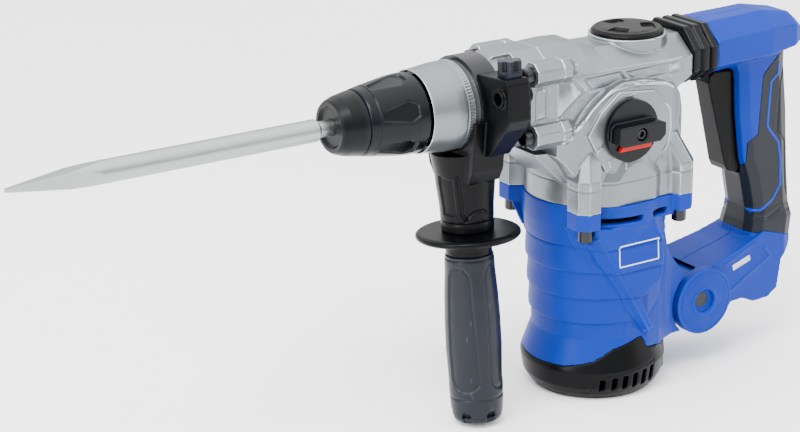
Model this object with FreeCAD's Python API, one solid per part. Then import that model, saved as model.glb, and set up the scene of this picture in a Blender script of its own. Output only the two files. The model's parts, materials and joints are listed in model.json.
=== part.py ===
import FreeCAD, Part
import math
import os

# Rotary hammer, millimetres. The origin is the centre of the flat motor base, on the motor axis.
# The tool points along -X, the rear handle is at +X, +Z is up and the mode knob is on the -Y side.

# ---------------------------------------------------------------- driving dimensions
TOOL_Z = 208.0          # height of the hammer axis above the base

# SDS-plus chisel and tool holder
SHANK_R = 5.0
CHISEL_R = 7.0
CHISEL_TIP_X = -410.0
CHISEL_STEP_X = -209.0
SHANK_END_X = -160.0
HOLDER_FRONT_X = -197.5
HOLDER_R = 9.5
HOLDER_BORE_R = 5.05
BALL_R = 3.5
BALL_X = -185.0
BALL_OFFSET = 7.0
FLAT_TURN = 10.6        # angle of the sleeve's finger flats

# hammer tube and what slides in it
TUBE_R = 17.0
TUBE_BORE_R = 13.0
TUBE_REAR_X = -4.0
SLIDE_GAP = 0.05
BEAT_FRONT_X = -153.5
STRIKER_FRONT_X = -80.0
STRIKER_REAR_X = -56.0
PISTON_FRONT_X = -44.0
PISTON_REAR_X = -14.0
WRIST_X = -26.0

# crank drive: module 1.2 spur gears on three upright shafts
MODULE = 1.2
PINION_TEETH = 8
CRANK_TEETH = 32
LAY_TEETH = 24
CRANK_X = MODULE * (PINION_TEETH + CRANK_TEETH) / 2
LAY_X = -MODULE * (PINION_TEETH + LAY_TEETH) / 2
GEAR_Z0 = 146.0
GEAR_Z1 = 154.0
CRANK_THROW = 10.0
ROD_Z0 = 205.0
ROD_Z1 = 211.0

# bevel pair: the small gear stands on the lay shaft, the ring turns the hammer tube
BEVEL_SMALL_TEETH = 12
BEVEL_RING_TEETH = 32
BEVEL_SMALL_R = 9.0
BEVEL_RING_R = BEVEL_SMALL_R * BEVEL_RING_TEETH / BEVEL_SMALL_TEETH
BEVEL_INNER_SCALE = 0.74

# castings
JOINT_Z = 134.0         # parting plane between gear housing and motor housing
BARREL_SPLIT_X = -56.0  # parting plane between front barrel and gear housing
BARREL_FACE_X = -76.0
BARREL_REAR_X = 57.0
BARREL_BORE_R = 26.6
NECK_R = 27.3
COLLAR_FRONT_X = -142.5
GEARBOX_R = 46.5
POST_SIZE = 8.6
SCREW_POSTS = [(-37.7, -39.9), (38.3, -39.9), (-37.7, 39.9), (38.3, 39.9)]
NOSE_SCREWS = [(-33.0, -20.0), (-33.0, 20.0), (27.5, -20.0), (27.5, 18.5)]

# mode knob
KNOB_X = -5.8
KNOB_Z = 183.3
KNOB_R = 20.2
PLATE_Y = -42.0

# motor
ROTOR_R = 20.0
STATOR_R = 35.0
CORE_Z0 = 50.0
CORE_Z1 = 95.0

# side handle: drawn upright and then swivelled about the hammer axis
SIDE_X = -105.4
SIDE_SWIVEL = -5.0
BAND_X0 = -109.5
BAND_X1 = -93.5
BAND_R = 30.0
STOP_Y = -46.0
STOP_Z = 217.0
STOP_BORE_R = 4.1
BUTTON_X = -99.0
STOP_R = 5.6
GUARD_S = 81.5
GRIP_END_S = 206.9

# rear handle
PIVOT_X = 71.4
PIVOT_Z = 46.7
PIVOT_R = 23.0
LUG_HALF = 16.0
EAR_IN = 16.6
HEAD_X = 79.0
SKIN = 1.4              # thickness of the soft overmould
SHELL_WALL = 3.4        # depth from the outside to the hollow
TRIGGER_HALF = 9.0
TRIGGER_PIN = (110.0, 193.0)
DAMPER_Z = 216.0
INLET_X = 133.0
HANDLE_SCREWS = [(145.5, 217.0), (143.0, 190.0), (137.0, 122.0), (144.0, 64.0), (112.0, 58.0)]


# ---------------------------------------------------------------- geometry helpers
def vec(x, y, z):
    return FreeCAD.Vector(x, y, z)


def box(x0, x1, y0, y1, z0, z1):
    return Part.makeBox(x1 - x0, y1 - y0, z1 - z0, vec(x0, y0, z0))


def rod(start, end, radius):
    """Round bar from one point to another."""
    a = vec(*start)
    b = vec(*end)
    return Part.makeCylinder(radius, (b - a).Length, a, b - a)


def bar_x(x0, x1, radius, y=0.0, z=TOOL_Z):
    return rod((x0, y, z), (x1, y, z), radius)


def bar_z(z0, z1, radius, x=0.0, y=0.0):
    return rod((x, y, z0), (x, y, z1), radius)


def turned(profile, base, direction):
    """Solid of revolution; profile holds (distance along the axis, radius)."""
    points = [vec(r, 0, s) for s, r in profile]
    face = Part.Face(Part.makePolygon(points + [points[0]]))
    solid = face.revolve(vec(0, 0, 0), vec(0, 0, 1), 360)
    solid.Placement = FreeCAD.Placement(vec(*base), FreeCAD.Rotation(vec(0, 0, 1), vec(*direction)))
    return solid


def turned_x(profile):
    """Solid of revolution about the hammer axis; profile holds (x, radius)."""
    return turned(profile, (0, 0, TOOL_Z), (1, 0, 0))


def turned_z(profile, x=0.0):
    return turned(profile, (x, 0, 0), (0, 0, 1))


def wire_at(points, axis, level):
    """Closed polygon in the plane across the given axis."""
    place = {"x": lambda a, b: vec(level, a, b),
             "y": lambda a, b: vec(a, level, b),
             "z": lambda a, b: vec(a, b, level)}[axis]
    corners = [place(a, b) for a, b in points]
    return Part.makePolygon(corners + [corners[0]])


def prism(points, axis, low, high):
    """Polygon drawn across an axis and extruded along it."""
    along = {"x": vec(1, 0, 0), "y": vec(0, 1, 0), "z": vec(0, 0, 1)}[axis]
    return Part.Face(wire_at(points, axis, low)).extrude(along * (high - low))


def loft(sections, axis):
    """Ruled loft; sections holds (level, points)."""
    wires = [wire_at(points, axis, level) for level, points in sections]
    return Part.makeLoft(wires, True, True)


def mirrored(shape):
    return shape.mirror(vec(0, 0, 0), vec(0, 1, 0))


def both_sides(shape):
    return shape.fuse(mirrored(shape))


def fused(shapes):
    whole = shapes[0].multiFuse(shapes[1:])
    return whole.removeSplitter()


def group(shapes):
    return Part.makeCompound(shapes)


def octagon(half_width, edge_half, low, low_side, high_side, high):
    """Eight-cornered casting section, symmetric about the middle plane."""
    right = [(edge_half, low), (half_width, low_side), (half_width, high_side), (edge_half, high)]
    left = [(-a, b) for a, b in reversed(right)]
    return right + left


def soft_box(x0, x1, half, corner, inset=0.0):
    """Plan section with four cut corners, pulled in by inset."""
    a = x0 + inset
    b = x1 - inset
    h = half - inset
    c = corner
    side = [(a + c * 0.3, -h + c * 0.3), (a + c, -h), (b - c, -h), (b - c * 0.3, -h + c * 0.3), (b, -h + c)]
    top = [(b, h - c), (b - c * 0.3, h - c * 0.3), (b - c, h), (a + c, h), (a + c * 0.3, h - c * 0.3)]
    return side + top + [(a, h - c), (a, -h + c)]


def hex_socket(start, direction, width, depth):
    """Six-sided recess of a socket screw."""
    radius = width / math.sqrt(3)
    corners = [vec(radius * math.cos(k * math.pi / 3), radius * math.sin(k * math.pi / 3), 0)
               for k in range(6)]
    tool = Part.Face(Part.makePolygon(corners + [corners[0]])).extrude(vec(0, 0, depth))
    tool.Placement = FreeCAD.Placement(vec(*start), FreeCAD.Rotation(vec(0, 0, 1), vec(*direction)))
    return tool


def socket_screw(head_face, direction, head_r, head_len, shaft_r, shaft_len):
    """Socket screw whose head face is at head_face, driven along direction."""
    profile = [(0, 0), (0, head_r - 0.6), (0.6, head_r), (head_len, head_r), (head_len, shaft_r),
               (head_len + shaft_len - 0.8, shaft_r), (head_len + shaft_len, shaft_r - 0.8),
               (head_len + shaft_len, 0)]
    body = turned(profile, head_face, direction)
    return body.cut(hex_socket(head_face, direction, head_r * 1.1, head_len * 0.55))


def coil(start, direction, radius, wire, length, turns):
    """Open helical spring with its first turn at start."""
    helix = Part.makeHelix(length / turns, length, radius)
    section = Part.Wire(Part.makeCircle(wire, vec(radius, 0, 0), vec(0, 1, 0)))
    spring = Part.Wire(helix.Edges).makePipeShell([section], True, True)
    spring.Placement = FreeCAD.Placement(vec(*start), FreeCAD.Rotation(vec(0, 0, 1), vec(*direction)))
    return spring


def gear_outline(teeth, pitch_r, addendum, dedendum, phase):
    """Straight-sided teeth, thin enough to run with backlash."""
    step = 2 * math.pi / teeth
    points = []
    for k in range(teeth):
        middle = phase + k * step
        for radius, part in [(pitch_r - dedendum, -0.30), (pitch_r + addendum, -0.10),
                             (pitch_r + addendum, 0.10), (pitch_r - dedendum, 0.30)]:
            angle = middle + part * step
            points.append((radius * math.cos(angle), radius * math.sin(angle)))
    return points


def spur_gear(teeth, x, z0, z1, phase):
    pitch_r = MODULE * teeth / 2
    points = gear_outline(teeth, pitch_r, 0.6 * MODULE, 0.8 * MODULE, phase)
    wheel = prism(points, "z", z0, z1)
    wheel.translate(vec(x, 0, 0))
    return wheel


# ---------------------------------------------------------------- chisel and chuck
def chisel():
    body = bar_x(CHISEL_TIP_X, CHISEL_STEP_X - 2.0, CHISEL_R)
    shoulder = turned_x([(CHISEL_STEP_X - 2.0, 0), (CHISEL_STEP_X - 2.0, CHISEL_R),
                         (CHISEL_STEP_X, SHANK_R), (CHISEL_STEP_X, 0)])
    wide = 7.6
    blunt = 1.0
    ground = -347.0
    point = loft([(CHISEL_TIP_X, [(-blunt, TOOL_Z - blunt), (blunt, TOOL_Z - blunt),
                                  (blunt, TOOL_Z + blunt), (-blunt, TOOL_Z + blunt)]),
                  (ground, [(-wide, TOOL_Z - wide), (wide, TOOL_Z - wide),
                            (wide, TOOL_Z + wide), (-wide, TOOL_Z + wide)])], "x")
    keep = point.fuse(box(ground, CHISEL_STEP_X, -10, 10, TOOL_Z - 10, TOOL_Z + 10))
    shank = turned_x([(CHISEL_STEP_X, 0), (CHISEL_STEP_X, SHANK_R), (SHANK_END_X - 1.2, SHANK_R),
                      (SHANK_END_X, SHANK_R - 1.2), (SHANK_END_X, 0)])
    for side in (-1, 1):
        z = TOOL_Z + side * BALL_OFFSET
        pocket = bar_x(-190.0, -168.0, BALL_R + 0.1, 0, z)
        shank = shank.cut(pocket)
        slot = box(-196.0, SHANK_END_X + 1, side * 5.2 - 1.6, side * 5.2 + 1.6, TOOL_Z - 1.3, TOOL_Z + 1.3)
        shank = shank.cut(slot)
    return fused([body.common(keep), shoulder, shank])


def dust_cap():
    """Rubber nose ring in front of the locking sleeve."""
    return turned_x([(-201, 13.2), (-201, 15.4), (-199.6, 16.6), (-194.5, 18.5), (-184.4, 20.3), (-183.6, 19.9),
                     (-183.6, 13.2), (-191.0, 13.2), (-191.0, HOLDER_R), (HOLDER_FRONT_X, HOLDER_R),
                     (HOLDER_FRONT_X, SHANK_R + 0.4), (-199.3, SHANK_R + 0.4), (-199.3, 11.6)])


def locking_sleeve():
    """Grip sleeve with six finger flats; its rear skirt runs into the collar."""
    body = turned_x([(-183.0, 20.0), (-182.4, 20.6), (-176.5, 21.8), (-158.0, 24.6), (-151.0, 25.2),
                     (-144.5, 25.2), (-143.4, 24.6), (-143.4, 21.8), (-139.0, 21.8), (-139.0, 18.6), (-160.0, 18.6),
                     (-160.0, 12.8), (-183.0, 12.8)])
    for k in range(6):
        flat = prism([(-175.0, 20.9), (-158.0, 23.5), (-151.0, 24.1), (-151.0, 30.0), (-175.0, 30.0)], "y", -7.0, 7.0)
        flat.translate(vec(0, 0, TOOL_Z))
        flat.rotate(vec(0, 0, TOOL_Z), vec(1, 0, 0), 60 * k + FLAT_TURN)
        body = body.cut(flat)
    return body


def ball_ring():
    """Hardened ring that holds the balls in the shank pockets."""
    return turned_x([(-190.0, 10.7), (-190.0, 12.7), (-179.0, 12.7), (-179.0, 10.7)])


def sleeve_spring():
    return coil((-157.5, 0, TOOL_Z), (1, 0, 0), 15.6, 1.0, 15.2, 4)


def thrust_rings():
    """Spring seat behind the sleeve spring, and the shoulder ring of the clutch spring."""
    seat = turned_x([(-140.6, 13.0), (-140.6, 17.8), (-138.8, 17.8), (-138.8, 13.0)])
    shoulder = turned_x([(-62.0, TUBE_R), (-62.0, 22.0), (-58.2, 22.0), (-58.2, TUBE_R)])
    return group([seat, shoulder])


def locking_balls():
    return group([Part.makeSphere(BALL_R, vec(BALL_X, 0, TOOL_Z + side * BALL_OFFSET)) for side in (-1, 1)])


def hammer_tube():
    """Tool holder and hammer cylinder in one turned piece."""
    tube = turned_x([(HOLDER_FRONT_X, HOLDER_BORE_R), (HOLDER_FRONT_X, HOLDER_R), (-150, HOLDER_R),
                     (-147, 13.0), (-128, 13.0), (-122, TUBE_R), (TUBE_REAR_X, TUBE_R),
                     (TUBE_REAR_X, TUBE_BORE_R), (-104, TUBE_BORE_R), (-104, 11.6), (-121, 11.6),
                     (-126, 8.05), (-158, 8.05), (-158, HOLDER_BORE_R)])
    tube = tube.cut(rod((BALL_X, 0, TOOL_Z - 12), (BALL_X, 0, TOOL_Z + 12), BALL_R + 0.05))
    for k in range(6):
        port = rod((-50.0, 0, TOOL_Z), (-50.0, 0, TOOL_Z + 20), 1.8)
        port.rotate(vec(0, 0, TOOL_Z), vec(1, 0, 0), 60 * k + 30)
        tube = tube.cut(port)
    return tube


# ---------------------------------------------------------------- hammer mechanism
def beat_piece():
    """Impact bolt between the striker and the chisel."""
    r = 8.0
    return turned_x([(BEAT_FRONT_X, 0), (BEAT_FRONT_X, r - 1.5), (BEAT_FRONT_X + 1.5, r), (-118, r), (-116, 11.5),
                     (-110, 11.5), (-109, r), (-99.5, r), (-98, r - 1.5), (-98, 0)])


def striker():
    r = TUBE_BORE_R - SLIDE_GAP
    return turned_x([(STRIKER_FRONT_X, 0), (STRIKER_FRONT_X, r - 3), (-77, r), (-68.5, r), (-68.5, r - 1.5),
                     (-66, r - 1.5), (-66, r), (STRIKER_REAR_X, r), (STRIKER_REAR_X, 0)])


def piston():
    """Cup piston; its skirt carries the wrist pin across it."""
    r = TUBE_BORE_R - SLIDE_GAP
    cup = turned_x([(PISTON_FRONT_X, 0), (PISTON_FRONT_X, r), (-41.0, r), (-41.0, r - 1.5), (-38.5, r - 1.5),
                    (-38.5, r), (PISTON_REAR_X, r), (PISTON_REAR_X, 9.8), (-35.0, 9.8), (-35.0, 0)])
    return cup.cut(rod((WRIST_X, 0, TOOL_Z - 20), (WRIST_X, 0, TOOL_Z + 20), 3.5))


def wrist_pin():
    return rod((WRIST_X, 0, TOOL_Z - 11.8), (WRIST_X, 0, TOOL_Z + 11.8), 3.5)


def connecting_rod():
    """Flat rod from the wrist pin to the eye over the crank pin."""
    eye_x = CRANK_X - CRANK_THROW
    small = bar_z(ROD_Z0, ROD_Z1, 6.5, WRIST_X)
    big = bar_z(ROD_Z0, ROD_Z1, 8.5, eye_x)
    shank = box(WRIST_X, eye_x, -4.0, 4.0, ROD_Z0, ROD_Z1)
    rod_body = fused([small, big, shank])
    rod_body = rod_body.cut(bar_z(ROD_Z0 - 1, ROD_Z1 + 1, 3.5, WRIST_X))
    return rod_body.cut(bar_z(ROD_Z0 - 1, ROD_Z1 + 1, 5.1, eye_x))


def crank_gear():
    """Gear, shaft, web and eccentric pin; a tooth points at the armature pinion."""
    wheel = spur_gear(CRANK_TEETH, CRANK_X, GEAR_Z0, GEAR_Z1, math.pi)
    shaft = bar_z(138.2, 190.0, 6.0, CRANK_X)
    web = bar_z(190.0, 197.0, 16.0, CRANK_X)
    pin = bar_z(197.0, ROD_Z0 - 0.4, 5.0, CRANK_X - CRANK_THROW)
    return fused([wheel, shaft, web, pin])


def lay_shaft():
    """Middle shaft: driven gear below, small bevel gear on top."""
    wheel = spur_gear(LAY_TEETH, LAY_X, GEAR_Z0, GEAR_Z1, 0)
    shaft = bar_z(138.2, 183.0, 5.0, LAY_X)
    apex = TOOL_Z
    low = apex - BEVEL_RING_R
    high = apex - BEVEL_RING_R * BEVEL_INNER_SCALE
    large = gear_outline(BEVEL_SMALL_TEETH, BEVEL_SMALL_R, 0.9, 1.3, 0)
    small = [(a * BEVEL_INNER_SCALE, b * BEVEL_INNER_SCALE) for a, b in large]
    cone = loft([(low, large), (high, small)], "z")
    cone.translate(vec(LAY_X, 0, 0))
    hub = bar_z(low - 3, low, 7.0, LAY_X)
    return fused([wheel, shaft, hub, cone])


def bevel_tooth(angle):
    """One tooth of the ring, tapering towards the crossing of the two axes."""
    corners = []
    for scale in (1.0, BEVEL_INNER_SCALE):
        r = BEVEL_RING_R * scale
        x = LAY_X - BEVEL_SMALL_R * scale
        half_low = 0.30 * 2 * math.pi * r / BEVEL_RING_TEETH
        half_high = 0.10 * 2 * math.pi * r / BEVEL_RING_TEETH
        drop = 2.6 * scale
        rise = 0.9 * scale
        corners.append([vec(x - drop, -half_low, r), vec(x - drop, half_low, r),
                        vec(x + rise, half_high, r), vec(x + rise, -half_high, r)])
    wires = [Part.makePolygon(quad + [quad[0]]) for quad in corners]
    tooth = Part.makeLoft(wires, True, True)
    tooth.translate(vec(0, 0, TOOL_Z))
    tooth.rotate(vec(0, 0, TOOL_Z), vec(1, 0, 0), angle)
    return tooth


def bevel_ring_gear():
    """Ring gear pressed on the hammer tube."""
    outer = BEVEL_RING_R + 1.2
    face = LAY_X - BEVEL_SMALL_R - 1.4
    inner_face = LAY_X - BEVEL_SMALL_R * BEVEL_INNER_SCALE - 1.05
    blank = turned_x([(-40.0, TUBE_R), (-40.0, 21.0), (-36.0, outer), (face, outer), (face, BEVEL_RING_R),
                      (inner_face, BEVEL_RING_R * BEVEL_INNER_SCALE), (inner_face, TUBE_R)])
    teeth = [bevel_tooth((k + 0.5) * 360 / BEVEL_RING_TEETH) for k in range(BEVEL_RING_TEETH)]
    return blank.multiFuse(teeth)


def clutch_spring():
    return coil((-56.5, 0, TOOL_Z), (1, 0, 0), 19.4, 1.4, 14.5, 4)


def spindle_bearings():
    front = turned_x([(-118.0, TUBE_R + 0.05), (-118.0, 21.0), (-102.0, 21.0), (-102.0, TUBE_R + 0.05)])
    rear = turned_x([(-8.8, TUBE_R + 0.05), (-8.8, 21.0), (-4.0, 21.0), (-4.0, TUBE_R + 0.05)])
    return group([front, rear])


def nose_seal():
    """Oil seal in the mouth of the front barrel."""
    return turned_x([(-127.0, 16.9), (-127.0, 21.0), (-120.0, 21.0), (-120.0, TUBE_R + 0.05)])


# ---------------------------------------------------------------- silver castings
def barrel_outside(x0, x1):
    """Eight-sided barrel: a raised hump in front, lower and narrower at the rear."""
    front = octagon(33.0, 10.0, 175.5, 191.0, 222.0, 237.0)
    middle = octagon(34.0, 11.0, 175.5, 191.0, 222.0, 238.0)
    hump = octagon(34.0, 11.5, 175.8, 191.0, 222.0, 237.0)
    dip = octagon(33.5, 13.0, 181.0, 194.0, 222.0, 231.5)
    waist = octagon(33.0, 13.0, 188.0, 198.0, 221.0, 231.0)
    rear = octagon(27.0, 12.0, 197.5, 206.0, 219.0, 231.0)
    body = loft([(-76.0, front), (-40.0, middle), (-26.0, hump), (-13.0, dip), (34.0, waist), (BARREL_REAR_X, rear)], "x")
    return body.common(box(x0, x1, -60, 60, 150, 260))


def nose_ridges(x0, x1):
    """Four ridge bosses that hold the barrel screws, fading into the barrel behind."""
    ridges = []
    for y, dz in NOSE_SCREWS:
        z = TOOL_Z + dz
        ring = [(y + 8.4 * math.cos((k + 0.5) * math.pi / 4), z + 8.4 * math.sin((k + 0.5) * math.pi / 4))
                for k in range(8)]
        inward = 10.0 if y < 0 else -10.0
        small = [(y + inward + (a - y) * 0.35, z + (b - z) * 0.35 - 0.2 * dz) for a, b in ring]
        ridges.append(loft([(BARREL_FACE_X, ring), (-50.0, ring), (-34.0, small)], "x"))
    whole = ridges[0].multiFuse(ridges[1:])
    return whole.common(box(x0, x1, -60, 60, 150, 260))


def nose_screw_holes():
    holes = [bar_x(-80.0, -40.0, 2.6, y, TOOL_Z + dz) for y, dz in NOSE_SCREWS]
    return holes[0].multiFuse(holes[1:])


def front_barrel():
    """Collar, clamping neck and front flange in one casting."""
    collar = turned_x([(COLLAR_FRONT_X, 25.6), (COLLAR_FRONT_X, 26.3), (-136, 26.7), (-125, 27.9),
                       (-113.5, 28.2), (-112.5, 27.6), (-111, NECK_R), (-70, NECK_R), (-70, 19.0),
                       (-100, 19.0), (-100, 21.0), (-127, 21.0), (-127, 22.3), (-135.5, 22.3), (-135.5, 25.6)])
    block = barrel_outside(BARREL_FACE_X, BARREL_SPLIT_X)
    lug = prism([(-91.5, 230), (-91.5, 234.5), (-88, 236.5), (-75, 237), (-75, 225), (-88, 225)], "y", -9, 9)
    body = fused([block, nose_ridges(BARREL_FACE_X, BARREL_SPLIT_X), lug, collar])
    body = body.cut(bar_x(-100, -70, 19.0))
    body = body.cut(bar_x(-72, BARREL_SPLIT_X + 1, 24.0))
    return body.cut(nose_screw_holes())


def post_outline(x, y, size):
    """Six-cornered screw post around one housing screw."""
    side = 1 if y > 0 else -1
    front = 1 if x > 0 else -1
    return [(x - front * 16, y - side * 12), (x - front * 6, y + side * 0.95 * size), (x + front * 3, y + side * size),
            (x + front * size, y + side * 3), (x + front * size, y - side * 8), (x - front * 2, y - side * 16)]


def screw_posts(z0, z1, size):
    posts = [prism(post_outline(x, y, size), "z", z0, z1) for x, y in SCREW_POSTS]
    return posts[0].multiFuse(posts[1:])


def gearbox_outside():
    """Round front about the motor axis, flat sides, square rear, and the raised cheeks."""
    front = turned_z([(JOINT_Z, 0), (JOINT_Z, GEARBOX_R), (150, GEARBOX_R), (178, 40), (205, 36), (205, 0)])
    front = front.common(box(-60, 60, -44, 44, 100, 260))
    rear = loft([(JOINT_Z, soft_box(-12, 48.5, 42, 20)), (168, soft_box(-12, 48.5, 41, 20)),
                 (198, soft_box(-12, 47, 36, 20))], "z")
    sweep = [(-62, 177), (-50, 184), (-32, 201), (-19, 210.5), (-8, 213.5), (8, 213), (26, 209), (37, 204),
             (44, 196), (47, 186), (47, 150), (-40, 150), (-50, 165)]
    cheeks = prism(sweep, "y", -39.5, 39.5)
    taper = [(-66, -30), (-44, -38), (-36, -39.5), (30, -39.5), (48, -29), (48, 29), (30, 39.5), (-36, 39.5),
             (-44, 38), (-66, 30)]
    cheeks = cheeks.common(prism(taper, "z", 140, 230))
    chin = loft([(150, [(-44, -22), (-30, -30), (-30, 30), (-44, 22)]),
                 (180, [(-73, -22), (-40, -30), (-40, 30), (-73, 22)])], "z")
    posts = []
    for x, y in SCREW_POSTS:
        tip_x = x - math.copysign(6, x)
        tip_y = y - math.copysign(7, y)
        posts.append(loft([(JOINT_Z, post_outline(x, y, POST_SIZE)), (155, post_outline(x, y, POST_SIZE)),
                           (174, post_outline(tip_x, tip_y, 6.0))], "z"))
    body = fused([front, rear, cheeks, chin] + posts)
    return body.cut(box(-80, BARREL_SPLIT_X, -60, 60, 172, 260))


def knob_plate():
    """Raised plate around the mode knob."""
    ring = [(-38, 184), (-24, 158.5), (10, 154), (27, 168), (29, 190), (14, 206), (-14, 209), (-28, 198)]
    return prism(ring, "y", PLATE_Y, -34)


def gear_housing():
    """Barrel and gearbox casting, open below and in front, with the grease opening on top."""
    ring = bar_z(226, 234.0, 25.2, CRANK_X)
    spigot = prism(octagon(12, 8, 205, 208, 224, 227), "x", BARREL_REAR_X - 3, 96)
    outside = fused([barrel_outside(BARREL_SPLIT_X, BARREL_REAR_X), nose_ridges(BARREL_SPLIT_X, -30),
                     gearbox_outside(), knob_plate(), ring, spigot])
    hollow = fused([bar_x(-57, -24.8, BARREL_BORE_R), bar_x(-27, -8.8, 20.0), bar_x(-9, 40, 21.0),
                    bar_z(JOINT_Z - 1, 196, 39.0).common(box(-60, 60, -37, 37, 100, 260)),
                    prism(soft_box(-8, 45.3, 37, 14), "z", JOINT_Z - 1, 196),
                    bar_z(180, 225, 20.6, CRANK_X), bar_z(220, 240, 19.0, CRANK_X)])
    body = outside.cut(hollow)
    body = body.fuse(bearing_web())
    body = body.cut(bar_z(230.0, 236, 21.0, CRANK_X))
    body = body.cut(rod((KNOB_X, PLATE_Y - 20, KNOB_Z), (KNOB_X, PLATE_Y - 0.1, KNOB_Z), KNOB_R + 0.8))
    body = body.cut(rod((KNOB_X, PLATE_Y - 2, KNOB_Z), (KNOB_X, -30, KNOB_Z), 8.1))
    body = body.cut(nose_screw_holes())
    return body.cut(fused([bar_z(JOINT_Z - 1, 150, 2.6, x, y) for x, y in SCREW_POSTS]))


def nose_screws():
    return group([socket_screw((BARREL_FACE_X - 6.5, y, TOOL_Z + dz), (1, 0, 0), 5.0, 6.5, 2.55, 32)
                  for y, dz in NOSE_SCREWS])


def housing_screws():
    return group([socket_screw((x, y, 114.2), (0, 0, 1), 4.8, 8.6, 2.6, 26) for x, y in SCREW_POSTS])


def grease_cap():
    """Threaded cap over the crank chamber, with a raised key for a pin wrench."""
    cap = turned_z([(222.0, 0), (222.0, 18.8), (230.2, 18.8), (230.2, 20.8), (234.2, 20.8), (234.2, 23.6),
                    (235.6, 23.6), (237.4, 21.5), (238.0, 15.0), (238.0, 0)], CRANK_X)
    for k in range(3):
        pocket = prism([(-5, 9.0), (5, 9.0), (7, 17.5), (-7, 17.5)], "z", 236.2, 239)
        pocket.rotate(vec(0, 0, 0), vec(0, 0, 1), 120 * k)
        pocket.translate(vec(CRANK_X, 0, 0))
        cap = cap.cut(pocket)
    return cap


def knob():
    """Mode knob: disc, grip bar and hub."""
    disc = rod((KNOB_X, PLATE_Y - 0.4, KNOB_Z), (KNOB_X, PLATE_Y - 4.0, KNOB_Z), KNOB_R)
    bar = prism([(KNOB_X - 17.5, KNOB_Z - 4.5), (KNOB_X - 14, KNOB_Z - 6.5), (KNOB_X + 15, KNOB_Z - 6.5),
                 (KNOB_X + 19, KNOB_Z - 3), (KNOB_X + 19, KNOB_Z + 5), (KNOB_X + 15, KNOB_Z + 6.5),
                 (KNOB_X - 15, KNOB_Z + 6.5), (KNOB_X - 17.5, KNOB_Z + 4.5)], "y", PLATE_Y - 13.5, PLATE_Y - 3)
    hub = rod((KNOB_X, PLATE_Y - 1, KNOB_Z), (KNOB_X, -33.0, KNOB_Z), 8.05)
    body = fused([disc, bar, hub])
    body = body.cut(rod((KNOB_X, PLATE_Y - 14, KNOB_Z), (KNOB_X, PLATE_Y - 9, KNOB_Z), 4.2))
    body = body.cut(rod((KNOB_X, PLATE_Y - 14, KNOB_Z), (KNOB_X, -32.0, KNOB_Z), 1.6))
    return body.cut(pointer_bar())


def pointer_bar():
    z = KNOB_Z - 10.5
    return prism([(KNOB_X - 12, z - 1.0), (KNOB_X + 13, z - 1.0), (KNOB_X + 13, z + 3.0), (KNOB_X - 9, z + 3.0)],
                 "y", PLATE_Y - 6.5, PLATE_Y - 2.4)


def knob_screw():
    return socket_screw((KNOB_X, PLATE_Y - 12.5, KNOB_Z), (0, 1, 0), 3.6, 3.5, 1.6, 16)


def selector_pin():
    """Eccentric finger on the inside of the knob, which shifts the gears."""
    plate = rod((KNOB_X, -33.0, KNOB_Z), (KNOB_X, -31.0, KNOB_Z), 9.5)
    finger = rod((KNOB_X, -31.0, KNOB_Z + 6), (KNOB_X, -28.0, KNOB_Z + 6), 2.2)
    return fused([plate.cut(rod((KNOB_X, -34, KNOB_Z), (KNOB_X, -30, KNOB_Z), 1.6)), finger])


# ---------------------------------------------------------------- gearbox shafts
def ball_bearings():
    """Bearings of the crank, the lay shaft and the armature."""
    crank = turned_z([(158, 6.05), (158, 15.0), (168, 15.0), (168, 6.05)], CRANK_X)
    crank_low = turned_z([(138.2, 6.05), (138.2, 12.0), (143.5, 12.0), (143.5, 6.05)], CRANK_X)
    lay = turned_z([(158, 5.05), (158, 13.0), (168, 13.0), (168, 5.05)], LAY_X)
    lay_low = turned_z([(138.2, 5.05), (138.2, 11.0), (143.5, 11.0), (143.5, 5.05)], LAY_X)
    low = turned_z([(12, 5.05), (12, 11.0), (19, 11.0), (19, 5.05)])
    high = turned_z([(121.6, 4.05), (121.6, 13.0), (128.9, 13.0), (128.9, 4.05)])
    return group([crank, crank_low, lay, lay_low, low, high])


def bearing_web():
    """Web across the gearbox that carries the upper bearings of the crank and the lay shaft."""
    plate = prism([(-35, -16), (46, -19), (46, 19), (-35, 16)], "z", 160, 166)
    plate = plate.cut(bar_z(155, 170, 15.0, CRANK_X))
    plate = plate.cut(bar_z(155, 170, 13.0, LAY_X))
    return plate.cut(bar_z(155, 170, 7.5, 2.0))


def bearing_plate():
    """Aluminium floor of the gearbox with the upper armature bearing under it."""
    plate = turned_z([(134.4, 0), (134.4, 38.4), (137.8, 38.4), (137.8, 0)])
    plate = plate.common(box(-60, 60, -36.5, 36.5, 100, 200))
    seat = bar_z(121.0, 136.0, 15.5)
    rims = [bar_z(135, 143.5, 13.5, LAY_X), bar_z(135, 143.5, 14.5, CRANK_X)]
    plate = fused([plate, seat] + rims)
    plate = plate.cut(bar_z(120.0, 129.0, 13.0))
    plate = plate.cut(bar_z(128.0, 145.0, 7.0))
    plate = plate.cut(bar_z(138.2, 145, 12.0, CRANK_X))
    return plate.cut(bar_z(138.2, 145, 11.0, LAY_X))


# ---------------------------------------------------------------- motor
def armature_shaft():
    pinion = spur_gear(PINION_TEETH, 0, 141, 156, math.pi / PINION_TEETH)
    return fused([bar_z(9.0, 121.5, 5.0), bar_z(121.5, 142, 4.0), pinion])


def rotor_core():
    core = turned_z([(CORE_Z0, 5.0), (CORE_Z0, ROTOR_R), (CORE_Z1, ROTOR_R), (CORE_Z1, 5.0)])
    for k in range(12):
        slot = box(ROTOR_R - 1.5, ROTOR_R + 2, -0.9, 0.9, CORE_Z0 - 1, CORE_Z1 + 1)
        slot.rotate(vec(0, 0, 0), vec(0, 0, 1), 30 * k)
        core = core.cut(slot)
    return core


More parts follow.
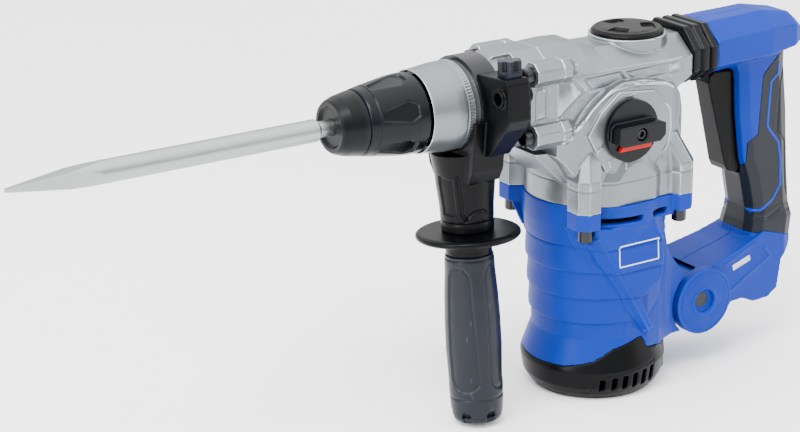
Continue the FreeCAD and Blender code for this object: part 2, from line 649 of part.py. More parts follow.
def rotor_windings():
    ends = []
    for z0, z1 in [(41, CORE_Z0), (CORE_Z1, 103)]:
        ends.append(turned_z([(z0, 5.0), (z0 + 1.5, 15), (z0 + 3, 17.5), (z1 - 2, 18), (z1, 17), (z1, 5.0)]))
    return group(ends)


def commutator():
    drum = turned_z([(25, 5.0), (25, 11.0), (38, 11.0), (38, 12.5), (40.5, 12.5), (40.5, 5.0)])
    for k in range(24):
        slot = box(10.2, 14, -0.25, 0.25, 24, 42)
        slot.rotate(vec(0, 0, 0), vec(0, 0, 1), 15 * k)
        drum = drum.cut(slot)
    return drum


def fan():
    """Radial cooling fan: hub, disc and curved-back blades."""
    blades = [turned_z([(106, 5.0), (106, 12.0), (117, 12.0), (117, 5.0)]),
              turned_z([(115, 11.0), (115, 31.0), (117, 31.0), (117, 11.0)])]
    for k in range(11):
        blade = box(11.5, 30.5, -0.9, 0.9, 107.5, 115.5)
        blade.rotate(vec(11.5, 0, 0), vec(0, 0, 1), 22)
        blade.rotate(vec(0, 0, 0), vec(0, 0, 1), 360 / 11 * k)
        blades.append(blade)
    return blades[0].multiFuse(blades[1:])


def stator_core():
    core = turned_z([(CORE_Z0, 21.0), (CORE_Z0, STATOR_R), (CORE_Z1, STATOR_R), (CORE_Z1, 21.0)])
    for side in (-1, 1):
        core = core.cut(box(side * 27 - 4.5, side * 27 + 4.5, -14, 14, CORE_Z0 - 1, CORE_Z1 + 1))
    return core


def field_coils():
    """Two saddle coils: straight sides through the core and humped ends."""
    coils = []
    for side in (-1, 1):
        a = side * 27
        coils.append(box(a - 4, a + 4, -13.5, 13.5, 43, 102))
    return group(coils)


def brush_holders():
    """Two brass boxes beside the commutator, each open towards it."""
    holders = []
    for side in (-1, 1):
        outer = box(-5, 5, 13.5, 33, 26, 37)
        inner = box(-3.3, 3.3, 13, 31, 27.7, 35.3)
        holder = outer.cut(inner)
        if side < 0:
            holder = mirrored(holder)
        holders.append(holder)
    return group(holders)


def carbon_brushes():
    brush = box(-3.2, 3.2, 11.3, 24, 27.8, 35.2)
    return group([brush, mirrored(brush)])


def motor_profile(inset):
    """Stepped side of the motor housing, base to flange; inset gives the hollow."""
    rings = [(0.0, 40.0), (4.0, 43.5), (9.0, 46.3), (20.5, 48.2), (31.6, 44.4), (41.6, 40.9), (52.0, 41.2),
             (52.6, 42.1), (69.5, 42.6), (70.1, 43.3), (88.0, 43.6), (88.6, 44.5), (108.0, 45.0), (120.0, 47.4),
             (JOINT_Z, 47.4)]
    return [(z, r - inset) for z, r in rings]


def motor_outside(inset):
    low = motor_profile(inset)[0][0]
    high = motor_profile(inset)[-1][0]
    return turned_z([(low, 0)] + motor_profile(inset) + [(high, 0)])


def cap_region():
    """Space below the slanted joint line between motor housing and end cap."""
    return prism([(-80, -5), (-80, 20.5), (-40, 24.0), (-27, 28), (-14.5, 35), (9, 40), (13, 31.5), (28, 28.6),
                  (80, 28.6), (80, -5)],
                 "y", -80, 80)


def hip(inset):
    """Rear of the motor housing, running back to the handle pivot."""
    outline = [(-5, 24), (-5, 118), (28, 118), (38, 92), (50, 76), (60, 62), (60, 30), (46, 24)]
    body = prism(outline, "y", -41.5 + inset, 41.5 - inset)
    plan = [(-5, -41.5), (13, -41.5), (26, -38), (36, -31.5), (46, -27.5), (70, -27), (70, 27), (46, 27.5), (36, 31.5),
            (26, 38), (13, 41.5), (-5, 41.5)]
    return body.common(prism(plan, "z", 0, 130))


def pivot_lug():
    lug = rod((PIVOT_X, -LUG_HALF, PIVOT_Z), (PIVOT_X, LUG_HALF, PIVOT_Z), 17.0)
    neck = prism([(43, 41), (43, 62), (PIVOT_X, 62), (PIVOT_X, 31), (46, 34), (46, 41)], "y", -LUG_HALF, LUG_HALF)
    return lug.fuse(neck)


def motor_flange():
    plate = bar_z(123, JOINT_Z, 47.4)
    posts = screw_posts(123, JOINT_Z, POST_SIZE)
    rear = prism(soft_box(-12, 49.5, 43.5, 20), "z", 120, JOINT_Z)
    return fused([plate, posts, rear]).common(box(-60, 60, -50, 50, 100, 140))


def label_pad():
    """Flat on each side of the motor housing."""
    outline = [(-30, 121), (13, 121), (20.5, 107), (21.2, 80.4), (1, 67), (-2, 69.8), (-19, 98.7)]
    return prism(outline, "y", -46.2, -30)


def diagonal_band():
    """Slanted rib from the front screw post down to the rear of the base."""
    proud = [(-32.9, 122), (-19, 98.7), (-2, 69.8), (10.5, 46), (14, 46), (3, 69.8), (-14, 98.7), (-26, 122)]
    root = [(-46, 122), (-33.5, 98.7), (-24, 69.8), (-2, 43), (14, 43), (3, 69.8), (-14, 98.7), (-26, 122)]
    return loft([(-46.2, proud), (-28, root)], "y")


def motor_solid():
    sides = [both_sides(label_pad()), both_sides(diagonal_band())]
    return fused([motor_outside(0), motor_flange(), hip(0)] + sides)


def motor_housing():
    """Blue plastic shell from the flange down to the slanted joint with the end cap."""
    body = motor_solid().cut(cap_region())
    pocket = rod((PIVOT_X, -60, PIVOT_Z), (PIVOT_X, 60, PIVOT_Z), PIVOT_R + 2.2)
    body = body.cut(pocket)
    body = body.fuse(pivot_lug())
    body = body.cut(rod((PIVOT_X, -30, PIVOT_Z), (PIVOT_X, 30, PIVOT_Z), 5.0))
    inner = turned_z([(-1, 0), (-1, 36.5), (12, 41.5), (20, 43), (41, 37.9), (108, 40.5), (125, 41.5), (140, 41.5),
                      (140, 0)])
    body = body.cut(inner)
    for k in range(4):
        rib = box(STATOR_R, 40.0, -3, 3, CORE_Z0, CORE_Z1)
        rib.rotate(vec(0, 0, 0), vec(0, 0, 1), 45 + 90 * k)
        body = body.fuse(rib)
    for x0, x1 in [(-28, 4), (12, 26)]:
        vent = prism([(x0 + 1, 122.5), (x0, 126.5), (x1, 126.5), (x1 - 1.5, 122.5)], "y", -60, 60)
        body = body.cut(vent)
    body = body.cut(fused([bar_z(110, 140, 2.7, x, y) for x, y in SCREW_POSTS]))
    return body.cut(fused([bar_z(100, 122.8, 5.6, x, y) for x, y in SCREW_POSTS]))


def motor_end_cap():
    """Black end cap with air slots, a flat foot and the lower bearing seat."""
    plan = [(-5, -40), (22, -40), (36, -31), (42.5, -22), (42.5, 22), (36, 31), (22, 40), (-5, 40)]
    bulge = prism(plan, "z", 9, 41)
    body = fused([motor_outside(0), bulge]).common(cap_region())
    inner = turned_z([(3, 0), (3, 36), (12, 41.5), (20, 43), (45, 37.5), (45, 0)])
    seat = turned_z([(2.8, 0), (2.8, 13.5), (19, 13.5), (19, 11.0), (12, 11.0), (12, 5.6), (8, 5.6), (8, 0)])
    body = body.cut(inner).fuse(seat)
    for k in range(6):
        for side in (-1, 1):
            x = -24 + 7.4 * k
            slot = box(x, x + 3.6, 30, 60, 7.5, 15.5 + 0.8 * k)
            if side < 0:
                slot = mirrored(slot)
            body = body.cut(slot)
    return body


# ---------------------------------------------------------------- side handle, drawn upright
def swivelled(shape):
    turned_shape = shape.copy()
    turned_shape.rotate(vec(0, 0, TOOL_Z), vec(1, 0, 0), SIDE_SWIVEL)
    return turned_shape


def side_turned(profile):
    """Solid of revolution about the side handle's axis; distances run down from the hammer axis."""
    return turned(profile, (SIDE_X, 0, TOOL_Z), (0, 0, -1))


def clamp_band():
    ring = turned_x([(BAND_X0, NECK_R + 0.1), (BAND_X0, BAND_R), (BAND_X1, BAND_R), (BAND_X1, NECK_R + 0.1)])
    return swivelled(ring)


def side_bracket():
    """Saddle, tapering trunk and the depth-stop lug on the left."""
    saddle = prism([(-30, TOOL_Z - 8), (-24, TOOL_Z - 40), (-19, TOOL_Z - 48), (19, TOOL_Z - 48), (24, TOOL_Z - 40),
                    (30, TOOL_Z - 8)], "x", -116, -92.5)
    trunk = side_turned([(30, 0), (30, 21.5), (36, 20.5), (44.7, 19), (50, 18.8), (65, 17.2), (79, 16.7), (81.1, 16.7),
                         (81.1, 0)])
    lug = prism([(-28, 229), (-53, 229), (-54.5, 226), (-54.5, 203), (-50, 197), (-30, 178), (-20, 178), (-20, 229)],
                "x", -107.5, -91.5)
    tube = bar_x(-110, -87, STOP_R, STOP_Y, STOP_Z)
    body = fused([saddle, trunk, lug, tube])
    body = body.cut(bar_x(BAND_X0 - 0.1, -80, BAND_R))
    body = body.cut(bar_x(-130, BAND_X0, 28.8))
    body = body.cut(bar_x(-130, -80, STOP_BORE_R, STOP_Y, STOP_Z))
    body = body.cut(box(BUTTON_X - 5.7, BUTTON_X + 5.7, -51.2, -38.8, 224.5, 240))
    body = body.cut(box(SIDE_X - 8.1, SIDE_X + 8.1, -8.1, 8.1, TOOL_Z - 34.1, TOOL_Z - 20))
    return swivelled(body.cut(side_turned([(25, 0), (25, 4.4), (90, 4.4), (90, 0)])))


def clamp_bolt():
    """Stud from the band down into the grip, with its square head under the band."""
    head = box(SIDE_X - 8, SIDE_X + 8, -8, 8, TOOL_Z - 34, TOOL_Z - 30.5)
    stud = side_turned([(34, 0), (34, 4.0), (148, 4.0), (150, 2.6), (150, 0)])
    return swivelled(head.fuse(stud))


def stop_button():
    """Ribbed push button over the depth stop."""
    stem = box(BUTTON_X - 5.3, BUTTON_X + 5.3, -50.8, -39.2, 227.5, 232.5)
    ring = [(BUTTON_X + 8.0 * math.cos(k * math.pi / 3), -45 + 8.0 * math.sin(k * math.pi / 3)) for k in range(6)]
    body = stem.fuse(prism(ring, "z", 232, 239.5))
    for k in range(6):
        notch = bar_z(233.5, 240, 1.6, BUTTON_X + 7.4, -45)
        notch.rotate(vec(BUTTON_X, -45, 0), vec(0, 0, 1), 60 * k + 30)
        body = body.cut(notch)
    return swivelled(body)


def side_grip_core():
    """Hard inner handle with the round hand guard."""
    body = side_turned([(GUARD_S, 4.08), (GUARD_S, 31), (GUARD_S + 1.2, 33.2), (GUARD_S + 3.2, 33.5),
                        (GUARD_S + 4.6, 32.0), (GUARD_S + 5.2, 16.5), (92.5, 14.8), (96.5, 14.8), (96.5, 10.5),
                        (202, 10.5), (202, 6), (152, 6), (152, 4.08)])
    return swivelled(body)


def side_grip_cover():
    """Soft grip, fuller in the middle, with long finger flats."""
    body = side_turned([(96.7, 10.5), (96.7, 15.2), (98.5, 15.8), (107, 16.0), (124, 17.2), (141, 17.9), (159, 18.1),
                        (176, 17.5), (189, 17.2), (190, 16.5), (191, 17.2), (202.5, 16.4), (202.5, 10.5)])
    return swivelled(body)


def side_grip_plug():
    body = side_turned([(196, 0), (196, 6), (202.5, 6), (202.5, 16.2), (205.5, 15.2), (GRIP_END_S, 13.0),
                        (GRIP_END_S, 0)])
    return swivelled(body)


# ---------------------------------------------------------------- rear handle
def head_solid(inset):
    """Top of the rear handle, behind the bellows."""
    front = octagon(26.5 - inset, 12, 199 + inset, 207.5, 224, 234.5 - inset)
    middle = octagon(24.5 - inset, 11, 201 + inset, 207.5, 225, 235.5 - inset)
    rear = octagon(20.5 - inset, 10, 204 + inset, 209.5, 224, 231 - inset)
    tail = octagon(15.5 - inset, 8, 209 + inset, 212, 219, 224 - inset)
    start = HEAD_X - 0.5 * inset
    return loft([(start, front), (128, middle), (152, rear), (161.5 - inset, tail)], "x")


def grip_solid(inset):
    """Hand grip from the head down to the arm."""
    stations = [(209.0, 99, 148.0, 18.5), (196.0, 105, 149.5, 17.2), (165.0, 107.5, 153.5, 17.0),
                (135.0, 112, 155.5, 17.2), (120.0, 117.5, 156.5, 17.5), (98.0, 122.5, 158.5, 18.0),
                (88.0, 121.0, 161.0, 19.5), (72.0, 117, 158.0, 20.5)]
    return loft([(z, soft_box(a, b, half, 9.5, inset)) for z, a, b, half in stations], "z")


def arm_solid(inset):
    """Lower arm from the pivot ears back to the grip."""
    outline = [(62, 63), (84, 69), (108, 74.5), (122, 79), (130, 82), (157.5, 74), (156, 66), (147.5, 58), (144.5, 38),
               (136, 33), (122, 33), (111, 38), (100, 38), (90, 27.5), (76, 23.6), (62, 25.2), (51, 35.5),
               (48, 48), (52, 58)]
    body = prism(outline, "y", -27 + inset, 27 - inset)
    taper = [(40, -27.5), (84, -25.5), (128, -21.5), (150, -20), (163, -14), (163, 14), (150, 20), (128, 21.5),
             (84, 25.5), (40, 27.5)]
    plan = [(a, b - inset if b > 0 else b + inset) for a, b in taper]
    return body.common(prism(plan, "z", 10, 120))


def ear_discs():
    return both_sides(rod((PIVOT_X, -30.0, PIVOT_Z), (PIVOT_X, -24.0, PIVOT_Z), PIVOT_R))


def handle_outside():
    return fused([head_solid(0), grip_solid(0), arm_solid(0), ear_discs()])


def handle_hollow():
    """Space inside the two handle halves."""
    room = [(100, 46), (100, 68.5), (122, 75.2), (130, 78.4), (151.5, 71), (151, 68), (142.5, 60), (141.5, 46)]
    arm_room = arm_solid(SHELL_WALL).common(prism(room, "y", -40, 40))
    grip_room = grip_solid(SHELL_WALL).common(box(90, 170, -30, 30, 74, 215))
    head_room = head_solid(SHELL_WALL).common(box(HEAD_X - 5, 155, -40, 40, 202.6, 240))
    return fused([arm_room, grip_room, head_room])


def fork_gap():
    """Room for the pivot lug between the ears."""
    slot = rod((PIVOT_X, -EAR_IN, PIVOT_Z), (PIVOT_X, EAR_IN, PIVOT_Z), 19.5)
    mouth = prism([(30, 20), (30, 66), (PIVOT_X, 66.2), (PIVOT_X, 20)], "y", -EAR_IN, EAR_IN)
    return slot.fuse(mouth)


def soft_region():
    """Side outline of the soft grip cover."""
    return prism([(160, 204), (141, 206.5), (127, 192), (124.5, 151.5), (117, 147), (116.5, 131), (111, 122.5),
                  (100, 122.5), (100, 82), (119, 82), (132, 80), (152, 74), (172, 70), (172, 204)], "y", -40, 40)


def soft_skin():
    """Outer layer of the grip that the soft cover takes up."""
    skin = grip_solid(0).cut(grip_solid(SKIN)).common(soft_region())
    skin = skin.cut(head_solid(0))
    return skin.cut(arm_solid(0)).cut(trigger_window())


def trigger_window():
    return box(90, 123, -TRIGGER_HALF - 0.8, TRIGGER_HALF + 0.8, 123, 198.0)


def handle_shell():
    body = handle_outside().cut(handle_hollow())
    body = body.cut(fork_gap())
    body = body.cut(trigger_window())
    body = body.cut(rod((PIVOT_X, -40, PIVOT_Z), (PIVOT_X, 40, PIVOT_Z), 5.0))
    body = body.cut(both_sides(rod((PIVOT_X, -31, PIVOT_Z), (PIVOT_X, -27, PIVOT_Z), 8.0)))
    body = body.cut(rod((INLET_X, 0, 20), (INLET_X, 0, 52), 5.5))
    wall = box(117.6, 120.0, -20, 20, 204, 229).common(head_solid(2.0))
    nub = rod((113.5, 0, DAMPER_Z), (118, 0, DAMPER_Z), 4.6)
    posts = [rod((x, -30, z), (x, 30, z), 4.0).common(handle_outside()) for x, z in HANDLE_SCREWS]
    body = fused([body, wall, nub] + posts)
    body = body.cut(soft_skin())
    body = body.cut(rod((TRIGGER_PIN[0], -12.6, TRIGGER_PIN[1]), (TRIGGER_PIN[0], 12.6, TRIGGER_PIN[1]), 2.05))
    for x, z in HANDLE_SCREWS:
        body = body.cut(rod((x, -10.5, z), (x, 12, z), 1.65))
        body = body.cut(rod((x, 8.4, z), (x, 40, z), 3.3))
    return body


def rear_handle_left(shell):
    return shell.common(box(20, 200, -60, 0, 0, 260))


def rear_handle_right(shell):
    return shell.common(box(20, 200, 0, 60, 0, 260))


def trigger():
    """Long finger trigger, hinged at its top inside the handle."""
    outline = [(92, 197), (89, 195), (88, 190), (103.5, 131), (106, 126.5), (114, 125), (116, 128), (111, 160),
               (109, 184), (115.5, 189), (115.5, 197)]
    body = prism(outline, "y", -TRIGGER_HALF, TRIGGER_HALF)
    plan = [(70, -6), (92, -7.5), (106, -TRIGGER_HALF), (120, -TRIGGER_HALF), (120, TRIGGER_HALF),
            (106, TRIGGER_HALF), (92, 7.5), (70, 6)]
    body = body.common(prism(plan, "z", 100, 220))
    x, z = TRIGGER_PIN
    return body.cut(rod((x, -20, z), (x, 20, z), 2.05))


def trigger_pin():
    x, z = TRIGGER_PIN
    return rod((x, -12.5, z), (x, 12.5, z), 2.0)


def switch_module():
    body = box(119, 139, -8, 8, 140, 176)
    return body.fuse(box(116.6, 119.5, -4, 4, 150, 158))


def bellows():
    """Three-fold rubber gaiter between the barrel and the handle."""
    sections = []
    folds = [(57.4, 0.0), (58.2, 2.4), (62.2, 2.4), (64.2, -0.4), (66.2, 2.4), (70.2, 2.4), (72.0, -0.4),
             (73.8, 2.4), (77.6, 2.4), (78.6, 0.0)]
    for x, out in folds:
        sections.append((x, octagon(25.4 + out, 14.5 + 0.4 * out, 199.6 - out, 207.5, 221 + 0.3 * out, 232.6 + out)))
    outside = loft(sections, "x")
    return outside.cut(prism(octagon(22.0, 13.0, 203.0, 209, 219, 229.5), "x", 50, 90))


def damper_spring():
    """Coil spring that holds the rear handle off the barrel."""
    return coil((98.0, 0, DAMPER_Z), (1, 0, 0), 6.5, 1.0, 18.0, 5)


def pivot_pin():
    return rod((PIVOT_X, -26.5, PIVOT_Z), (PIVOT_X, 26.5, PIVOT_Z), 4.95)


def cable_gland():
    """Rubber cable inlet under the rear of the arm."""
    profile = [(0, 3.6), (0, 5.0), (1.0, 5.5), (15, 5.5), (15, 7.2), (18, 7.2), (18, 3.6)]
    return turned(profile, (INLET_X, 0, 31.0), (0, 0, 1))


def handle_screws():
    return group([socket_screw((x, 11.0, z), (0, -1, 0), 3.1, 2.6, 1.6, 18) for x, z in HANDLE_SCREWS])


# ---------------------------------------------------------------- export
def all_parts():
    shell = handle_shell()
    return {
        "chisel": chisel(), "dust_cap": dust_cap(), "locking_sleeve": locking_sleeve(), "ball_ring": ball_ring(),
        "sleeve_spring": sleeve_spring(), "thrust_rings": thrust_rings(), "locking_balls": locking_balls(),
        "hammer_tube": hammer_tube(), "beat_piece": beat_piece(), "striker": striker(), "piston": piston(),
        "wrist_pin": wrist_pin(), "connecting_rod": connecting_rod(), "crank_gear": crank_gear(),
        "lay_shaft": lay_shaft(), "bevel_ring_gear": bevel_ring_gear(), "clutch_spring": clutch_spring(),
        "spindle_bearings": spindle_bearings(), "nose_seal": nose_seal(),
        "front_barrel": front_barrel(), "gear_housing": gear_housing(), "nose_screws": nose_screws(),
        "housing_screws": housing_screws(), "grease_cap": grease_cap(), "mode_knob": knob(),
        "mode_pointer": pointer_bar(), "knob_screw": knob_screw(), "selector_pin": selector_pin(),
        "ball_bearings": ball_bearings(), "bearing_plate": bearing_plate(),
        "armature_shaft": armature_shaft(), "rotor_core": rotor_core(), "rotor_windings": rotor_windings(),
        "commutator": commutator(), "cooling_fan": fan(),
        "stator_core": stator_core(), "field_coils": field_coils(), "brush_holders": brush_holders(),
        "carbon_brushes": carbon_brushes(), "motor_housing": motor_housing(), "motor_end_cap": motor_end_cap(),
        "clamp_band": clamp_band(), "side_bracket": side_bracket(), "clamp_bolt": clamp_bolt(),
        "stop_button": stop_button(), "side_grip_core": side_grip_core(), "side_grip_cover": side_grip_cover(),
        "side_grip_plug": side_grip_plug(), "rear_handle_left": rear_handle_left(shell),
        "rear_handle_right": rear_handle_right(shell), "handle_screws": handle_screws(),
        "grip_overmould": soft_skin(), "trigger": trigger(), "trigger_pin": trigger_pin(),
        "switch_module": switch_module(), "bellows": bellows(),
        "damper_spring": damper_spring(), "pivot_pin": pivot_pin(), "cable_gland": cable_gland(),
    }


os.makedirs("parts", exist_ok=True)
for name, shape in all_parts().items():
    shape.exportStep("parts/" + name + ".step")
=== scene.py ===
import json
import math

import bmesh
import bpy
import numpy as np
from mathutils import Matrix, Vector
from mathutils.bvhtree import BVHTree


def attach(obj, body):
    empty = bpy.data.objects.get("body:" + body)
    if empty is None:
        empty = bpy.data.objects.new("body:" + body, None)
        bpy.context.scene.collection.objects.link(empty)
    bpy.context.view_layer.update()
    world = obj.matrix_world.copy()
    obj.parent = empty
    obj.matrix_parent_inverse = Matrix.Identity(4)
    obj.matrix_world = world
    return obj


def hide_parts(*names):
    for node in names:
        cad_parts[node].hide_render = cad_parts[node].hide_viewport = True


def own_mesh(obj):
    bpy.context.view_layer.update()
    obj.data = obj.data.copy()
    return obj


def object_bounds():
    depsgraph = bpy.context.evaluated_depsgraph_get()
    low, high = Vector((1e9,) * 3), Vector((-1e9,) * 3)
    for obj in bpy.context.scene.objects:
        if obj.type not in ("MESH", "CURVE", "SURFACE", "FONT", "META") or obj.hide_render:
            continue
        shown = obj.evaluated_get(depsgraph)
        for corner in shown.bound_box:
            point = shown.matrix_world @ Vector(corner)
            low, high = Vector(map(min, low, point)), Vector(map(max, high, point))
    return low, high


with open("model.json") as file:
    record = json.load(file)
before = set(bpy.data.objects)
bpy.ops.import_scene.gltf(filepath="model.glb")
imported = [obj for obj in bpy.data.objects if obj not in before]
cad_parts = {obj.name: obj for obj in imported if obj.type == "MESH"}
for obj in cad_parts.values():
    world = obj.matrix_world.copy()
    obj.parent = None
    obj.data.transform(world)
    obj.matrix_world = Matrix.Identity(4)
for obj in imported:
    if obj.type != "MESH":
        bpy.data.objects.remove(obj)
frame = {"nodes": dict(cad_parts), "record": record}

CAD_BOX = [list(corner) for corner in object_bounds()]
MM = 0.001
NODE_BODY = {node: body for body, nodes in frame["record"]["behaviour"]["bodies"].items() for node in nodes}


# ---------------------------------------------------------------- materials
def new_material(name):
    """A new material, with its node tree and its Principled shader."""
    mat = bpy.data.materials.new(name)
    mat.use_nodes = True
    tree = mat.node_tree
    shader = tree.nodes["Principled BSDF"]
    return mat, tree, shader


def object_coords(tree, scale=(1, 1, 1)):
    """Object coordinates, stretched by scale."""
    coords = tree.nodes.new("ShaderNodeTexCoord")
    mapping = tree.nodes.new("ShaderNodeMapping")
    mapping.inputs["Scale"].default_value = scale
    tree.links.new(coords.outputs["Object"], mapping.inputs["Vector"])
    return mapping.outputs["Vector"]


def noise(tree, vector, scale, detail=3.0, roughness=0.5):
    """Noise between 0 and 1."""
    node = tree.nodes.new("ShaderNodeTexNoise")
    node.inputs["Scale"].default_value = scale
    node.inputs["Detail"].default_value = detail
    node.inputs["Roughness"].default_value = roughness
    tree.links.new(vector, node.inputs["Vector"])
    return node.outputs["Fac"]


def ramp(tree, value, stops):
    """Colour ramp; stops holds (position, colour)."""
    node = tree.nodes.new("ShaderNodeValToRGB")
    while len(node.color_ramp.elements) < len(stops):
        node.color_ramp.elements.new(0.5)
    for element, (position, colour) in zip(node.color_ramp.elements, stops):
        element.position = position
        element.color = (*colour, 1.0)
    tree.links.new(value, node.inputs["Fac"])
    return node.outputs["Color"]


def remap(tree, value, low, high):
    """Value between 0 and 1, moved to between low and high."""
    node = tree.nodes.new("ShaderNodeMapRange")
    node.inputs["To Min"].default_value = low
    node.inputs["To Max"].default_value = high
    tree.links.new(value, node.inputs["Value"])
    return node.outputs["Result"]


def bump(tree, shader, height, strength, distance):
    """Fine surface texture, distance metres deep."""
    node = tree.nodes.new("ShaderNodeBump")
    node.inputs["Strength"].default_value = strength
    node.inputs["Distance"].default_value = distance
    tree.links.new(height, node.inputs["Height"])
    tree.links.new(node.outputs["Normal"], shader.inputs["Normal"])


def tint(colour, factor):
    """Colour made paler or darker."""
    return tuple(min(1.0, c * factor) for c in colour)


def edge_mix(tree, colour, worn, low=0.52, high=0.60):
    """Mixes a worn colour in along raised edges."""
    geometry = tree.nodes.new("ShaderNodeNewGeometry")
    step = tree.nodes.new("ShaderNodeMapRange")
    step.inputs["From Min"].default_value = low
    step.inputs["From Max"].default_value = high
    tree.links.new(geometry.outputs["Pointiness"], step.inputs["Value"])
    mix = tree.nodes.new("ShaderNodeMix")
    mix.data_type = "RGBA"
    tree.links.new(step.outputs["Result"], mix.inputs["Factor"])
    tree.links.new(colour, mix.inputs["A"])
    mix.inputs["B"].default_value = (*worn, 1.0)
    return mix.outputs["Result"]


def plastic(name, colour, rough, grain=900.0, grain_depth=0.00006, worn=1.35, blotch=0.08, specular=0.5):
    """Moulded plastic or rubber: slight mottling, spark-eroded grain and paler edges."""
    mat, tree, shader = new_material(name)
    vector = object_coords(tree)
    soft = noise(tree, vector, 18.0, 4.0)
    base = ramp(tree, soft, [(0.3, tint(colour, 1 - blotch)), (0.7, tint(colour, 1 + blotch))])
    base = edge_mix(tree, base, tint(colour, worn))
    tree.links.new(base, shader.inputs["Base Color"])
    tree.links.new(remap(tree, noise(tree, vector, 55.0, 3.0), rough - 0.05, rough + 0.06),
                   shader.inputs["Roughness"])
    shader.inputs["Specular IOR Level"].default_value = specular
    bump(tree, shader, noise(tree, vector, grain, 2.0), 0.35, grain_depth)
    return mat


def metal(name, colour, rough, stretch=(1, 1, 1), streak=0.03, grain=300.0, grain_depth=0.00004, metallic=1.0,
          worn=1.15):
    """Metal with fine streaks along its length and brighter edges."""
    mat, tree, shader = new_material(name)
    vector = object_coords(tree, stretch)
    fine = noise(tree, vector, grain, 4.0, 0.6)
    base = ramp(tree, fine, [(0.25, tint(colour, 1 - 2 * streak)), (0.75, tint(colour, 1 + 2 * streak))])
    base = edge_mix(tree, base, tint(colour, worn))
    tree.links.new(base, shader.inputs["Base Color"])
    shader.inputs["Metallic"].default_value = metallic
    tree.links.new(remap(tree, fine, rough - 2 * streak, rough + 2 * streak), shader.inputs["Roughness"])
    bump(tree, shader, fine, 0.25, grain_depth)
    return mat


def silver_paint():
    """Silver enamel over a die casting: flake sparkle and a soft orange peel."""
    mat, tree, shader = new_material("silver_enamel")
    vector = object_coords(tree)
    flake = noise(tree, vector, 2600.0, 1.0)
    broad = noise(tree, vector, 30.0, 4.0)
    base = ramp(tree, broad, [(0.3, (0.135, 0.152, 0.163)), (0.7, (0.170, 0.188, 0.198))])
    base = edge_mix(tree, base, (0.55, 0.57, 0.58), 0.515, 0.57)
    tree.links.new(base, shader.inputs["Base Color"])
    shader.inputs["Metallic"].default_value = 0.75
    tree.links.new(remap(tree, flake, 0.24, 0.38), shader.inputs["Roughness"])
    peel = noise(tree, vector, 420.0, 2.0)
    bump(tree, shader, peel, 0.3, 0.00005)
    return mat


SHELL_GRAIN = 1100.0
RUBBER_GRAIN = 1500.0

MATERIALS = {
    "silver_casting": silver_paint(),
    "plate_aluminium": metal("bare_aluminium", (0.66, 0.67, 0.68), 0.38),
    "blue_plastic": plastic("blue_shell", (0.0, 0.018, 0.22), 0.45, SHELL_GRAIN, 0.00004, worn=2.2,
                            specular=0.12),
    "black_plastic": plastic("black_shell", (0.0006, 0.0007, 0.0010), 0.33, SHELL_GRAIN, 0.00005, worn=8.0,
                             specular=0.10),
    "grey_plastic": plastic("grey_shell", (0.0010, 0.0014, 0.0026), 0.27, 1300.0, 0.00004, worn=7.0,
                            specular=0.16),
    "soft_grip": plastic("soft_grip_rubber", (0.0060, 0.0078, 0.0118), 0.36, RUBBER_GRAIN, 0.00009, worn=3.0,
                         specular=0.18),
    "gaiter_rubber": plastic("gaiter_rubber", (0.0010, 0.0012, 0.0018), 0.32, RUBBER_GRAIN, 0.00006, worn=8.0,
                             specular=0.13),
    "red_marker": plastic("red_marker", (0.30, 0.0012, 0.003), 0.40, specular=0.15),
    "chisel_steel": metal("chisel_steel", (0.30, 0.31, 0.31), 0.36, (0.06, 1, 1), 0.05, 900.0),
    "machine_steel": metal("machine_steel", (0.42, 0.43, 0.44), 0.32),
    "bearing_steel": metal("bearing_steel", (0.60, 0.61, 0.62), 0.18),
    "spring_steel": metal("spring_steel", (0.30, 0.30, 0.31), 0.30),
    "black_screw": metal("black_oxide", (0.0035, 0.0038, 0.0048), 0.28, metallic=0.4),
    "core_iron": metal("core_laminations", (0.16, 0.16, 0.17), 0.50, (0.02, 0.02, 8)),
    "winding_copper": metal("winding_copper", (0.62, 0.24, 0.09), 0.34, (1, 1, 14)),
    "contact_brass": metal("contact_brass", (0.70, 0.50, 0.20), 0.30),
    "brush_carbon": plastic("brush_carbon", (0.016, 0.016, 0.017), 0.55),
    "fan_plastic": plastic("fan_plastic", (0.03, 0.03, 0.032), 0.45),
}
NODE_SLOT = {row["node"]: row["material_slot"] for row in frame["record"]["subparts"]}

for node_name, node_object in frame["nodes"].items():
    node_object.data.materials.clear()
    node_object.data.materials.append(MATERIALS[NODE_SLOT[node_name]])


# ---------------------------------------------------------------- places and sizes, in millimetres
AXIS_Z = 208.0
SIDE_X = -105.4
SWIVEL = math.radians(-5.0)
PIVOT = (71.4, 46.7)
CAP_X = 24.0
STEM_CENTRE = (-99.0, -44.2)
STEM_FROM = -22.0
STEM_LIFT = 0.9
STEM_SHRINK = 0.94
WELD = 0.01
SMOOTH_FACTOR = 0.5
NOSE_HOLES = [(-33.0, 188.0), (-33.0, 228.0), (27.5, 188.0), (27.5, 226.5)]
NOSE_HOLE_R = 2.6
NOSE_FILL_X = (-46.5, -41.5)
CORNER_FILL_X = (40.5, 45.8)
CORNER_FILL_Y = (-21.0, 21.0)
CORNER_FILL_HALF = 5.0
CORNER_FILL_Z = (189.0, 197.2)


